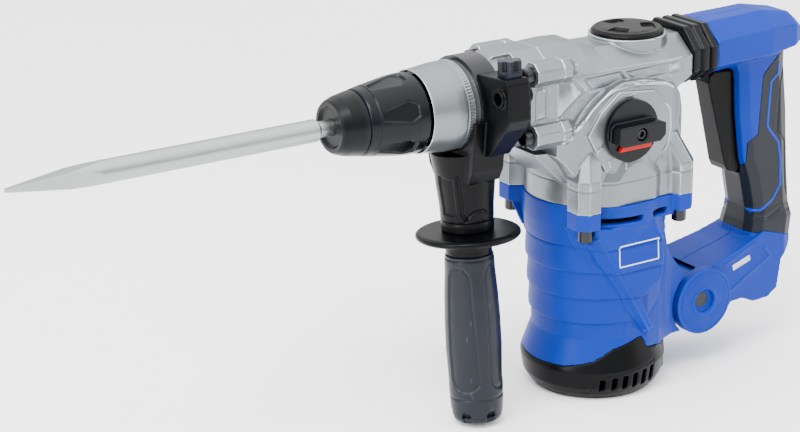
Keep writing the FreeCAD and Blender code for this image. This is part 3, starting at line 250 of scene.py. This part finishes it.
# ---------------------------------------------------------------- mesh helpers
def world_mesh(objects, blocks=()):
    """One mesh, in the frame's coordinates, of copies of the given objects and of box-shaped blocks."""
    joined = bmesh.new()
    for obj in objects:
        part = obj.data.copy()
        part.transform(obj.matrix_world)
        joined.from_mesh(part)
        bpy.data.meshes.remove(part)
    bmesh.ops.remove_doubles(joined, verts=joined.verts, dist=WELD * MM)
    for x0, x1, y0, y1, z0, z1 in blocks:
        place = Matrix.Translation(Vector((x0 + x1, y0 + y1, z0 + z1)) * 0.5 * MM)
        size = Matrix.Diagonal(Vector(((x1 - x0) * MM, (y1 - y0) * MM, (z1 - z0) * MM, 1)))
        bmesh.ops.create_cube(joined, size=1.0, matrix=place @ size)
    mesh = bpy.data.meshes.new("joined")
    joined.to_mesh(mesh)
    joined.free()
    return mesh


def evaluated(obj):
    """Applies the object's modifiers to its mesh."""
    graph = bpy.context.evaluated_depsgraph_get()
    mesh = bpy.data.meshes.new_from_object(obj.evaluated_get(graph))
    old = obj.data
    obj.modifiers.clear()
    obj.data = mesh
    bpy.data.meshes.remove(old)


def new_piece(name, mesh, body, slot):
    """Object with the slot's material that rides on a body."""
    mesh.materials.clear()
    mesh.materials.append(MATERIALS[slot])
    obj = bpy.data.objects.new(name, mesh)
    bpy.context.scene.collection.objects.link(obj)
    for polygon in mesh.polygons:
        polygon.use_smooth = True
    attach(obj, body)
    return obj


# Boxes that close the gear case where nose-screw holes or the hollow's upper rear corners reach its skin.
FILLED = {"gear_case": [(*NOSE_FILL_X, y - NOSE_HOLE_R, y + NOSE_HOLE_R, z - NOSE_HOLE_R, z + NOSE_HOLE_R)
                        for y, z in NOSE_HOLES]
          + [(*CORNER_FILL_X, y - CORNER_FILL_HALF, y + CORNER_FILL_HALF, *CORNER_FILL_Z)
             for y in CORNER_FILL_Y]}


def moulded(nodes, name, voxel, rounds, detail, keep):
    """Replaces CAD nodes with one rounded casting: remeshed, smoothed, shaped by detail, then thinned."""
    mesh = world_mesh([frame["nodes"][node] for node in nodes], FILLED.get(name, ()))
    body = NODE_BODY[nodes[0]]
    obj = new_piece(name, mesh, body, NODE_SLOT[nodes[0]])
    remesh = obj.modifiers.new("remesh", "REMESH")
    remesh.mode = "VOXEL"
    remesh.voxel_size = voxel * MM
    smooth = obj.modifiers.new("smooth", "SMOOTH")
    smooth.factor = SMOOTH_FACTOR
    smooth.iterations = rounds
    evaluated(obj)
    if detail is not None:
        reshape(obj.data, detail)
    thin = obj.modifiers.new("thin", "DECIMATE")
    thin.ratio = keep
    evaluated(obj)
    for polygon in obj.data.polygons:
        polygon.use_smooth = True
    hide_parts(*nodes)
    return obj


def reshape(mesh, detail):
    """Moves every vertex along its normal by what detail returns, in millimetres."""
    count = len(mesh.vertices)
    points = np.empty(count * 3)
    normals = np.empty(count * 3)
    mesh.vertices.foreach_get("co", points)
    mesh.vertices.foreach_get("normal", normals)
    points = points.reshape(-1, 3)
    normals = normals.reshape(-1, 3)
    shift = detail(points / MM, normals)
    points += normals * (shift * MM)[:, None]
    mesh.vertices.foreach_set("co", points.ravel())
    mesh.update()


# ---------------------------------------------------------------- relief on the castings
def line_distance(u, v, line, closed=False):
    """Distance of the points (u, v) from a polyline, in millimetres."""
    best = np.full(len(u), 1e9)
    ends = line[1:] + (line[:1] if closed else [])
    for (a0, b0), (a1, b1) in zip(line, ends):
        du, dv = a1 - a0, b1 - b0
        t = np.clip(((u - a0) * du + (v - b0) * dv) / (du * du + dv * dv), 0, 1)
        best = np.minimum(best, np.hypot(u - a0 - t * du, v - b0 - t * dv))
    return best


def inside(u, v, outline):
    """True for the points (u, v) inside a closed outline."""
    result = np.zeros(len(u), bool)
    for (a0, b0), (a1, b1) in zip(outline, outline[1:] + outline[:1]):
        if b0 == b1:
            continue
        crosses = ((b0 > v) != (b1 > v)) & (u < (a1 - a0) * (v - b0) / (b1 - b0) + a0)
        result ^= crosses
    return result


def signed(u, v, outline):
    """Distance from a closed outline, negative inside."""
    return np.where(inside(u, v, outline), -1, 1) * line_distance(u, v, outline, True)


def soft(value, low, high):
    """Smooth step from 0 at low to 1 at high."""
    t = np.clip((value - low) / (high - low), 0, 1)
    return t * t * (3 - 2 * t)


def facing_side(normals, low, high):
    """Goes from 0 to 1 as a surface turns to face either side."""
    return soft(np.abs(normals[:, 1]), low, high)


def standing(normals, low, high):
    """Goes from 1 to 0 as a surface turns from upright to level."""
    return 1 - soft(np.abs(normals[:, 2]), low, high)


def groove(distance, width, depth):
    """Cut that is deepest on its line."""
    return -depth * (1 - soft(distance, 0.35 * width, width))


def rib(distance, width, height):
    """Ridge that is highest on its line."""
    return height * (1 - soft(distance, 0.3 * width, width))


def recess(distance, depth, slope=0.8):
    """Sunk area whose edge is where the signed distance is zero."""
    return -depth * (1 - soft(distance, -slope, 0))


CASTING_FACING = (0.45, 0.75)
SHELL_FACING = (0.5, 0.8)
BARREL_SIDE_Y = (29.0, 31.0)
RIB_SIDE_Y = (30, 33)
PLATE_SIDE_Y = (39.5, 41.0)
SEAM_MIN_R = 40
TOP_Z = 215
BARREL_PANELS = [
    [(-71.5, 217.5), (-66, 219.2), (-63.5, 217), (-63.5, 198.5), (-71.5, 197.3)],
    [(-58.5, 198.5), (-58.2, 218.8), (-43.9, 218.8), (-35.9, 210.8), (-54, 196.5)],
    [(-34.8, 218.4), (-7.4, 218.6), (-1.6, 211.6), (-29.2, 211.0)],
    [(-1.2, 217.6), (45.2, 219), (45.8, 212), (5.2, 211.2)],
]
SWEEP_RIB = [(-60.6, 178.1), (-49, 185.4), (-41.7, 190.3), (-34.4, 199.4), (-28, 204.5), (-22.1, 207.9),
             (-14.7, 210.6), (-4.6, 211.6), (8, 210.8), (25, 207.8), (31, 204.7)]
LOW_LINE = [(-39.1, 193.6), (-44, 189.4), (-61.3, 189.2), (-72, 188.7)]
PLATE_ARC = [(20.7, 203), (26.5, 191), (27.4, 180), (25.5, 168.7), (17.5, 157)]
KNOB_TICKS = [[(-20.4, 160.8), (-22.2, 165.6)], [(-9, 158.6), (-8.9, 162.4)], [(-6.4, 205.7), (-2.6, 206.2)],
              [(-30.6, 173.5), (-27.4, 174.9)]]
CASTING_SEAM_Z = 149.5
TOP_MARK = [(27, -24.5), (33.5, -24.5)]


def panel(edge):
    """Sunk barrel panel with a groove along its edge."""
    return groove(np.abs(edge), 1.1, 0.85) + recess(edge, 0.35)


def gear_detail(points, normals):
    """Panel outlines on the barrel, the sweeping rib, the plate's rim, tick marks and the die seam."""
    x, y, z = points.T
    side = facing_side(normals, *CASTING_FACING)
    outer = soft(np.abs(y), *BARREL_SIDE_Y)
    shift = np.zeros(len(x))
    for line in BARREL_PANELS:
        edge = signed(x, z, line)
        shift += side * outer * panel(edge)
    shift += side * outer * groove(line_distance(x, z, LOW_LINE), 1.0, 0.7)
    shift += side * soft(np.abs(y), *RIB_SIDE_Y) * rib(line_distance(x, z, SWEEP_RIB), 1.7, 1.0)
    near = side * soft(-y, *PLATE_SIDE_Y)
    shift += near * rib(line_distance(x, z, PLATE_ARC), 1.1, 0.7)
    for tick in KNOB_TICKS:
        shift += near * rib(line_distance(x, z, tick), 0.8, 0.6)
    upright = standing(normals, 0.4, 0.6)
    shift += upright * groove(np.abs(z - CASTING_SEAM_Z), 0.8, 0.4) * (np.hypot(x, y) > SEAM_MIN_R)
    shift += groove(line_distance(x, y, TOP_MARK), 0.7, 0.3) * (z > TOP_Z)
    return shift


COLLAR_SKIN_R = (26.5, 27.2)
COLLAR_MAX_R = 30
TEETH = 90
TEETH_FRONT_X = (-117.5, -117.0)
TEETH_REAR_X = (-114.2, -113.8)
TEETH_DEPTH = 0.35
COLLAR_STEP_X = -118.3


def barrel_detail(points, normals):
    """Fine teeth round the collar's rear edge and the stepped rings."""
    x, y, z = points.T
    radius = np.hypot(y, z - AXIS_Z)
    angle = np.arctan2(z - AXIS_Z, y)
    outer = soft(radius, *COLLAR_SKIN_R) * (radius < COLLAR_MAX_R)
    teeth = outer * soft(x, *TEETH_FRONT_X) * (1 - soft(x, *TEETH_REAR_X))
    shift = -TEETH_DEPTH * teeth * soft(np.cos(angle * TEETH), 0.0, 0.6)
    shift += outer * groove(np.abs(x - COLLAR_STEP_X), 0.6, 0.3)
    side = facing_side(normals, *CASTING_FACING) * soft(np.abs(y), *BARREL_SIDE_Y)
    edge = signed(x, z, BARREL_PANELS[0])
    return shift + side * panel(edge)


PAD_SIDE_Y = 36
HIP_SIDE_Y = 26
BAND_SIDE_Y = 28
BAND_HEIGHT = 0.9
FRONT_SLOPE = 0.62
FRONT_Z = 60
FRONT_MIN_R = 38
RING_STEPS = (52.3, 69.8, 88.3, 106.0)
BAND_BULGE = 0.7
PAD_LINE = [(-20, 121), (13, 118), (20.6, 106), (21.2, 80.4), (0.1, 68)]
HIP_LINE = [(13, 52), (30, 66), (36, 78)]
SLANTED_BAND = [(-36, 113), (-27.2, 98), (-13.4, 76.6), (-5, 61.2), (9.5, 41), (13, 43), (-2, 69.8),
                (-19, 98.7), (-30, 117)]


def motor_detail(points, normals):
    """Ring steps in front of the slanted rib, the name panel's bevel and the hip's crease."""
    x, y, z = points.T
    radius = np.hypot(x, y)
    side = facing_side(normals, *SHELL_FACING)
    shift = side * (np.abs(y) > PAD_SIDE_Y) * rib(line_distance(x, z, PAD_LINE), 0.7, 0.35)
    shift += side * (np.abs(y) > HIP_SIDE_Y) * groove(line_distance(x, z, HIP_LINE), 0.9, 0.35)
    edge = signed(x, z, SLANTED_BAND)
    band = facing_side(normals, 0.3, 0.5) * (np.abs(y) > BAND_SIDE_Y)
    shift += band * (BAND_HEIGHT * (1 - soft(edge, -0.9, 0.1)) + groove(np.abs(edge), 1.0, 0.35))
    front = soft(-x + FRONT_SLOPE * (z - FRONT_Z), -6, 2) * (radius > FRONT_MIN_R)
    upright = standing(normals, 0.3, 0.6)
    for level in RING_STEPS:
        bulge = BAND_BULGE * soft(z - level, 0, 1.5) * (1 - soft(z - level, 4, 15))
        shift += upright * front * (groove(np.abs(z - level), 1.0, 0.55) + bulge)
    return shift


ARM_SIDE_Y = 17
ARM_MAX_Z = 90
SCREW_RING_R = 9.6
EAR_GROOVE_R = 20.6
EAR_R = 23
EAR_EDGE_R = 23.4
EAR_EDGE_X = 76
ARM_TOP_LINE = [(93, 66.5), (112, 73), (121, 75.5), (131, 70)]
ARM_LOW_LINE = [(97, 45.6), (115, 54), (136, 63.4), (131, 70)]


def handle_detail(points, normals):
    """Shallow panel on the arm, a dished ring round the pivot screw and the head's creases."""
    x, y, z = points.T
    side = facing_side(normals, *SHELL_FACING)
    outer = np.abs(y) > ARM_SIDE_Y
    arm = (z < ARM_MAX_Z) & outer
    shift = side * arm * rib(line_distance(x, z, ARM_LOW_LINE), 1.6, 0.6)
    shift += side * arm * rib(line_distance(x, z, ARM_TOP_LINE), 1.3, 0.45)
    disc = np.hypot(x - PIVOT[0], z - PIVOT[1])
    rings = groove(np.abs(disc - EAR_GROOVE_R), 0.8, 0.4) + rib(np.abs(disc - SCREW_RING_R), 1.0, 0.45)
    shift += side * outer * rings * (disc < EAR_R)
    shift += side * outer * groove(np.abs(disc - EAR_EDGE_R), 0.9, 0.5) * (x > EAR_EDGE_X)
    return shift


SKIN_GROOVE = [(146.2, 195), (146, 192), (142.6, 184), (141.6, 151), (149.6, 142), (151.4, 110), (153, 104)]
GRIP_TOE = [(121, 92), (134, 90.5), (146, 95.5), (155, 93)]


def skin_detail(points, normals):
    """Rear groove on each side of the soft skin and the fold above its collar."""
    x, y, z = points.T
    side = facing_side(normals, 0.25, 0.5)
    shift = side * groove(line_distance(x, z, SKIN_GROOVE), 0.9, 0.7)
    shift += side * groove(line_distance(x, z, GRIP_TOE), 1.6, 0.35)
    return shift


def side_frame(points):
    """Distance down the side handle, and angle round it, of points in the frame."""
    x, y, z = points.T
    along = -(z - AXIS_Z) * math.cos(SWIVEL) + y * math.sin(SWIVEL)
    across = y * math.cos(SWIVEL) + (z - AXIS_Z) * math.sin(SWIVEL)
    return along, np.arctan2(across, x - SIDE_X), np.hypot(across, x - SIDE_X)


def repeated(angle, start, count):
    """Angle from the nearest of several evenly spaced places."""
    step = 2 * math.pi / count
    return (angle - start + step / 2) % step - step / 2


GRIP_SKIN_R = (12.5, 14.0)
GRIP_PANEL_R = 17.4
GRIP_PANELS = 4
GRIP_COLLAR_AT = 98.6
NOTCH_R = 16.6
NOTCHES = 6
GRIP_PANEL = [(-9.2, 113), (-8.6, 108.5), (-6.6, 105.2), (-3.6, 103.4), (-0.6, 103.0), (2.6, 104.0),
              (5.6, 107.0), (7.2, 111), (8.0, 130), (9.2, 158), (10.0, 180), (6.2, 183.4),
              (1.5, 184.8), (-3.5, 184.2), (-7.5, 181.5), (-9.4, 177)]
PANEL_ANGLE = math.radians(-148.7)
NOTCH = [(-3.4, 209), (-3.9, 201), (-2.4, 198.4), (2.4, 198.4), (3.9, 201), (3.4, 209)]
NOTCH_ANGLE = math.radians(-150.2)


def grip_detail(points, normals):
    """Long finger panels and the notches of the end cap."""
    along, angle, radius = side_frame(points)
    outer = soft(radius, *GRIP_SKIN_R)
    arc = repeated(angle, PANEL_ANGLE, GRIP_PANELS) * GRIP_PANEL_R
    edge = signed(arc, along, GRIP_PANEL)
    shift = outer * (recess(edge, 0.75, 0.9) + groove(np.abs(edge), 1.0, 0.75))
    shift += outer * groove(np.abs(along - GRIP_COLLAR_AT), 0.9, 0.6)
    notch = signed(repeated(angle, NOTCH_ANGLE, NOTCHES) * NOTCH_R, along, NOTCH)
    return shift + outer * recess(notch, 1.7, 1.0)


TRUNK_SKIN_R = 14.5
TRUNK_FROM = 41
TRUNK_R = 17.5
TRUNK_ANGLE = math.radians(-166)
TRUNK_GROOVE_AT = 74.5
TRUNK_WINDOW = [(-5.5, 43), (5.8, 45.5), (6.4, 70), (-5.2, 69)]
TRUNK_V = [(8.5, 44), (10.0, 68), (12.2, 72)]
TRUNK_ARCH = [(12.2, 72), (15, 68.5), (19, 66.5), (24, 66.2), (28, 69)]


def saddle_detail(points, normals):
    """Sunk panels and the arch at the foot of the trunk, repeated round it."""
    along, angle, radius = side_frame(points)
    outer = (radius > TRUNK_SKIN_R) & (along > TRUNK_FROM)
    arc = repeated(angle, TRUNK_ANGLE, 2) * TRUNK_R
    shift = outer * recess(signed(arc, along, TRUNK_WINDOW), 1.0, 0.8)
    shift += outer * groove(line_distance(arc, along, TRUNK_V), 1.5, 1.0)
    shift += outer * groove(line_distance(arc, along, TRUNK_ARCH), 1.0, 0.6)
    shift += outer * groove(np.abs(along - TRUNK_GROOVE_AT), 0.8, 0.4)
    return shift


POCKET = [(-175.5, -3.2), (-157.0, -7.4), (-150.8, -4.0), (-150.8, 4.0), (-157.0, 7.4), (-175.5, 3.2)]
POCKET_ANGLE = math.radians(160.6)
SLEEVE_OUTSIDE = [(-183.0, 19.8), (-182.5, 20.5), (-181.5, 20.9), (-177.6, 21.6), (-177.2, 21.2),
                  (-176.8, 21.2), (-176.4, 21.8), (-158.0, 24.6), (-151.0, 25.2), (-145.2, 25.2),
                  (-144.0, 24.9), (-143.4, 24.2)]
SLEEVE_INSIDE = [(-143.4, 21.8), (-139.0, 21.8), (-139.0, 18.7), (-160.0, 18.7), (-160.0, 12.9),
                 (-183.0, 12.9)]
RING_POINTS = 360
POCKETS = 6
POCKET_DEPTH = 0.75
POCKET_CHORD = 1.6
SLEEVE_SKIN_R = 19.5
SLEEVE_STEP = 0.35


def lathe_x(name, profile, body, slot, shape=None):
    """Closed solid of revolution about the tool axis; shape(x, angle, radius) may move the radius."""
    angles = np.arange(RING_POINTS) * 2 * math.pi / RING_POINTS
    verts = []
    for x, radius in profile:
        radii = np.full(RING_POINTS, float(radius))
        if shape is not None:
            radii = shape(np.full(RING_POINTS, x), angles, radii)
        verts += [(x * MM, r * math.cos(a) * MM, (AXIS_Z + r * math.sin(a)) * MM)
                  for a, r in zip(angles, radii)]
    faces = []
    rows = len(profile)
    for i in range(rows):
        one, two = i * RING_POINTS, (i + 1) % rows * RING_POINTS
        for k in range(RING_POINTS):
            after = (k + 1) % RING_POINTS
            faces.append((one + k, one + after, two + after, two + k))
    mesh = bpy.data.meshes.new(name)
    mesh.from_pydata(verts, [], faces)
    mesh.update()
    return new_piece(name, mesh, body, slot)


def resampled(profile, step):
    """Profile with extra points so that none is further than step from the next."""
    points = []
    for (x0, r0), (x1, r1) in zip(profile, profile[1:]):
        count = max(1, int(math.hypot(x1 - x0, r1 - r0) / step))
        points += [(x0 + (x1 - x0) * k / count, r0 + (r1 - r0) * k / count) for k in range(count)]
    return points + [profile[-1]]


def pocketed(x, angle, radius):
    """Six long hexagonal finger pockets in the sleeve."""
    turn = repeated(angle, POCKET_ANGLE, POCKETS)
    edge = signed(x, turn * radius, POCKET)
    area_inside = 1 - soft(edge, -1.0, 0.15)
    chord = radius / np.maximum(np.cos(turn), 0.5) - POCKET_CHORD
    floor = np.minimum(chord, radius - POCKET_DEPTH)
    return np.where(radius > SLEEVE_SKIN_R, radius + area_inside * (floor - radius), radius)


def chuck_sleeve():
    """Locking sleeve turned on the tool axis, with its finger pockets."""
    profile = resampled(SLEEVE_OUTSIDE, SLEEVE_STEP) + SLEEVE_INSIDE
    piece = lathe_x("chuck_sleeve", profile, "sleeve", "grey_plastic", pocketed)
    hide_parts("locking_sleeve")
    return piece


CAP_TOP_Z = 236.5
CAP_ARC_R = 19.0
FOOT_LINE = [(-29, 6), (-27, 18), (16.5, 22.5), (17, 6.5)]


def cap_detail(points, normals):
    """Shallow arc marks on the grease cap."""
    x, y, z = points.T
    radius = np.hypot(x - CAP_X, y)
    return (z > CAP_TOP_Z) * groove(np.abs(radius - CAP_ARC_R), 0.6, 0.25)


def foot_detail(points, normals):
    """Outline round the air slots of the foot."""
    x, y, z = points.T
    side = facing_side(normals, 0.3, 0.6)
    return side * groove(line_distance(x, z, FOOT_LINE), 0.7, 0.3)


# ---------------------------------------------------------------- pieces
def castings():
    """Rounded stand-ins for the cast and moulded CAD nodes."""
    made = {}
    for name, nodes, voxel, rounds, detail, keep in [
            ("gear_case", ["gear_housing"], 0.55, 5, gear_detail, 0.35),
            ("barrel_front", ["front_barrel"], 0.5, 4, barrel_detail, 0.4),
            ("motor_shell", ["motor_housing"], 0.65, 5, motor_detail, 0.4),
            ("motor_foot", ["motor_end_cap"], 0.6, 4, foot_detail, 0.45),
            ("handle_half_near", ["rear_handle_left"], 0.65, 5, handle_detail, 0.45),
            ("handle_half_far", ["rear_handle_right"], 0.65, 5, handle_detail, 0.45),
            ("grip_skin", ["grip_overmould"], 0.45, 3, skin_detail, 0.4),
            ("side_saddle", ["side_bracket"], 0.5, 4, saddle_detail, 0.45),
            ("guard_core", ["side_grip_core"], 0.55, 4, None, 0.45),
            ("grip_cover", ["side_grip_cover"], 0.45, 3, grip_detail, 0.4),
            ("grip_plug", ["side_grip_plug"], 0.45, 3, grip_detail, 0.5),
            ("trigger_blade", ["trigger"], 0.5, 5, None, 0.5),
            ("mode_dial", ["mode_knob"], 0.4, 3, None, 0.5),
            ("oil_cap", ["grease_cap"], 0.45, 3, cap_detail, 0.5),
            ("gaiter", ["bellows"], 0.5, 3, None, 0.5)]:
        made[name] = moulded(nodes, name, voxel, rounds, detail, keep)
    return made


def copied(node, name):
    """Piece with the same mesh as a CAD node, so that it may be squeezed."""
    piece = new_piece(name, world_mesh([frame["nodes"][node]]), NODE_BODY[node], NODE_SLOT[node])
    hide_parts(node)
    return piece


def stop_push():
    """Depth-stop button, with its stem a little slimmer and shorter so that it clears the rounded saddle."""
    piece = copied("stop_button", "stop_push")
    lift = Vector((0, -math.sin(SWIVEL), math.cos(SWIVEL))) * STEM_LIFT * MM
    centre = Vector((STEM_CENTRE[0], STEM_CENTRE[1], 0)) * MM
    for vertex in piece.data.vertices:
        along, _, _ = side_frame(np.array([vertex.co]) / MM)
        if along[0] > STEM_FROM:
            vertex.co.x = centre.x + (vertex.co.x - centre.x) * STEM_SHRINK
            vertex.co.y = centre.y + (vertex.co.y - centre.y) * STEM_SHRINK
            vertex.co += lift
    for polygon in piece.data.polygons:
        polygon.use_smooth = False


def springs():
    """Springs copied from their CAD nodes, each with a mesh of its own."""
    sleeve = copied("sleeve_spring", "chuck_spring")
    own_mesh(sleeve)
    damper = copied("damper_spring", "handle_spring")
    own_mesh(damper)


RIBBON_STEP = 0.8
RIBBON_PROFILE = [(-0.5, -0.35), (-0.5, 0.6), (-0.36, 1.0), (0.36, 1.0), (0.5, 0.6), (0.5, -0.35)]
RAY_FROM_Y = 80
NEAREST_FROM_Y = 15


def surface_ribbon(name, target, line, width, lift, side, body, slot, closed=False):
    """Thin raised strip laid on target along a line in the XZ plane, seen from one side."""
    tree = BVHTree.FromObject(target, bpy.context.evaluated_depsgraph_get())
    dense = []
    ends = line[1:] + (line[:1] if closed else [])
    for (a0, b0), (a1, b1) in zip(line, ends):
        steps = max(2, int(math.hypot(a1 - a0, b1 - b0) / RIBBON_STEP))
        dense += [(a0 + (a1 - a0) * k / steps, b0 + (b1 - b0) * k / steps) for k in range(steps)]
    if not closed:
        dense.append(line[-1])
    count = len(dense)
    grid = bmesh.new()
    rows = []
    for k, (a, b) in enumerate(dense):
        before = dense[(k - 1) % count] if closed or k > 0 else dense[k]
        after = dense[(k + 1) % count] if closed or k < count - 1 else dense[k]
        tangent = Vector((after[0] - before[0], after[1] - before[1])).normalized()
        row = []
        for across, rise in RIBBON_PROFILE:
            u = a - tangent.y * across * width
            v = b + tangent.x * across * width
            start = Vector((u, side * RAY_FROM_Y, v)) * MM
            place, normal, _, _ = tree.ray_cast(start, Vector((0, -side, 0)))
            if place is None:
                place, normal, _, _ = tree.find_nearest(Vector((u, side * NEAREST_FROM_Y, v)) * MM)
            row.append(grid.verts.new(place + normal * lift * rise * MM))
        rows.append(row)
    pairs = list(zip(rows, rows[1:])) + ([(rows[-1], rows[0])] if closed else [])
    for one, two in pairs:
        for j in range(len(one) - 1):
            grid.faces.new([one[j], two[j], two[j + 1], one[j + 1]])
        grid.faces.new([one[-1], two[-1], two[0], one[0]])
    if not closed:
        grid.faces.new(rows[0])
        grid.faces.new(list(reversed(rows[-1])))
    bmesh.ops.recalc_face_normals(grid, faces=grid.faces)
    mesh = bpy.data.meshes.new(name)
    grid.to_mesh(mesh)
    grid.free()
    return new_piece(name, mesh, body, slot)


ACCENT = [(140.4, 199), (140.2, 191.5), (134, 186), (132.4, 156), (134.5, 152.5), (142.6, 143), (145.2, 130),
          (145.6, 112), (139, 102.5), (129, 96.4), (117.5, 96.6)]
NAME_FRAME = [(-14.7, 93.8), (16.8, 93.8), (16.8, 107.9), (-14.7, 107.9)]


def printed_marks(made):
    """White name frame, left blank, on the motor, and the blue piping on the grip."""
    for side, word in [(-1, "near"), (1, "far")]:
        frame_piece = surface_ribbon("name_frame_" + word, made["motor_shell"], NAME_FRAME, 0.75, 0.12, side,
                                     "housing", "blue_plastic", True)
        frame_piece.data.materials.clear()
        frame_piece.data.materials.append(WHITE_PRINT)
        surface_ribbon("grip_piping_" + word, made["grip_skin"], ACCENT, 1.7, 0.35, side, "rear_handle",
                       "blue_plastic")


TAG_CORNER = (99.8, 62.2)
TAG_DIRECTION = (0.97, 0.24)
TAG_REACH = (0.6, 17.5)


def blank_tag(target):
    """Small bare metal tag on the near side of the arm, with nothing on it."""
    along = Vector(TAG_DIRECTION).normalized()
    line = [tuple(Vector(TAG_CORNER) + along * reach) for reach in TAG_REACH]
    surface_ribbon("blank_tag", target, line, 4.2, 0.22, -1, "rear_handle", "machine_steel")


WHITE_PRINT = plastic("white_print", (0.60, 0.64, 0.72), 0.45, worn=1.0)
PIECES = castings()
PIECES["chuck_sleeve"] = chuck_sleeve()
springs()
stop_push()
printed_marks(PIECES)
blank_tag(PIECES["handle_half_near"])
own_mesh(PIECES["gaiter"])


# ---------------------------------------------------------------- stage, light and camera
HORIZON_LIGHT = 0.55
ZENITH_LIGHT = 4.6
FLOOR_HALF = 6.0
FLOOR_GAP = 0.0004
LENS_MM = 103.5
SENSOR_MM = 36.0
CAMERA_RIGHT = (0.8397082, -0.54292871, -0.01088807)
CAMERA_UP = (0.18587176, 0.26851951, 0.94517139)
CAMERA_PLACE = (-0.87666, -1.13117, 0.60643)


def area(name, place, target, size, power):
    """Rectangular light at place that points at target."""
    light = bpy.data.lights.new(name, "AREA")
    light.shape = "RECTANGLE"
    light.size = size[0]
    light.size_y = size[1]
    light.energy = power
    obj = bpy.data.objects.new(name, light)
    bpy.context.scene.collection.objects.link(obj)
    obj.location = place
    obj.rotation_euler = (Vector(target) - Vector(place)).to_track_quat("-Z", "Y").to_euler()


def studio():
    """Pale floor and soft lights."""
    level = min(CAD_BOX[0][2], CAD_BOX[1][2]) - FLOOR_GAP
    mesh = bpy.data.meshes.new("floor")
    corners = [(-FLOOR_HALF, -FLOOR_HALF), (FLOOR_HALF, -FLOOR_HALF), (FLOOR_HALF, FLOOR_HALF),
               (-FLOOR_HALF, FLOOR_HALF)]
    mesh.from_pydata([(x, y, level) for x, y in corners], [], [(0, 1, 2, 3)])
    floor = bpy.data.objects.new("floor", mesh)
    bpy.context.scene.collection.objects.link(floor)
    mat, tree, shader = new_material("floor_paper")
    vector = object_coords(tree)
    shade = ramp(tree, noise(tree, vector, 3.0, 2.0), [(0.3, (0.90, 0.90, 0.90)), (0.7, (0.93, 0.93, 0.93))])
    tree.links.new(shade, shader.inputs["Base Color"])
    shader.inputs["Roughness"].default_value = 0.9
    mesh.materials.append(mat)

    world = bpy.data.worlds.new("studio")
    bpy.context.scene.world = world
    world.use_nodes = True
    tree = world.node_tree
    back = tree.nodes["Background"]
    back.inputs["Color"].default_value = (1.0, 1.0, 1.0, 1.0)
    coords = tree.nodes.new("ShaderNodeTexCoord")
    split = tree.nodes.new("ShaderNodeSeparateXYZ")
    tree.links.new(coords.outputs["Generated"], split.inputs["Vector"])
    tree.links.new(remap(tree, split.outputs["Z"], HORIZON_LIGHT, ZENITH_LIGHT), back.inputs["Strength"])

    area("key_top", (-0.7, -0.5, 1.4), (0, 0, 0.15), (0.7, 0.4), 26)
    area("fill_left", (-1.5, -0.3, 0.7), (-0.05, 0, 0.12), (0.3, 0.9), 20)
    area("rim_right", (1.1, -0.9, 0.6), (0.05, 0, 0.12), (0.25, 0.8), 7)


def camera():
    """Camera in front of the tool, to its left and a little above it."""
    lens = bpy.data.cameras.new("camera")
    lens.lens = LENS_MM
    lens.sensor_width = SENSOR_MM
    lens.clip_start = 0.05
    lens.clip_end = 30.0
    obj = bpy.data.objects.new("camera", lens)
    bpy.context.scene.collection.objects.link(obj)
    right = Vector(CAMERA_RIGHT)
    up = Vector(CAMERA_UP)
    back = right.cross(up)
    turn = Matrix((right, up, back)).transposed()
    obj.matrix_world = Matrix.Translation(Vector(CAMERA_PLACE)) @ turn.to_4x4()
    bpy.context.scene.camera = obj


studio()
camera()
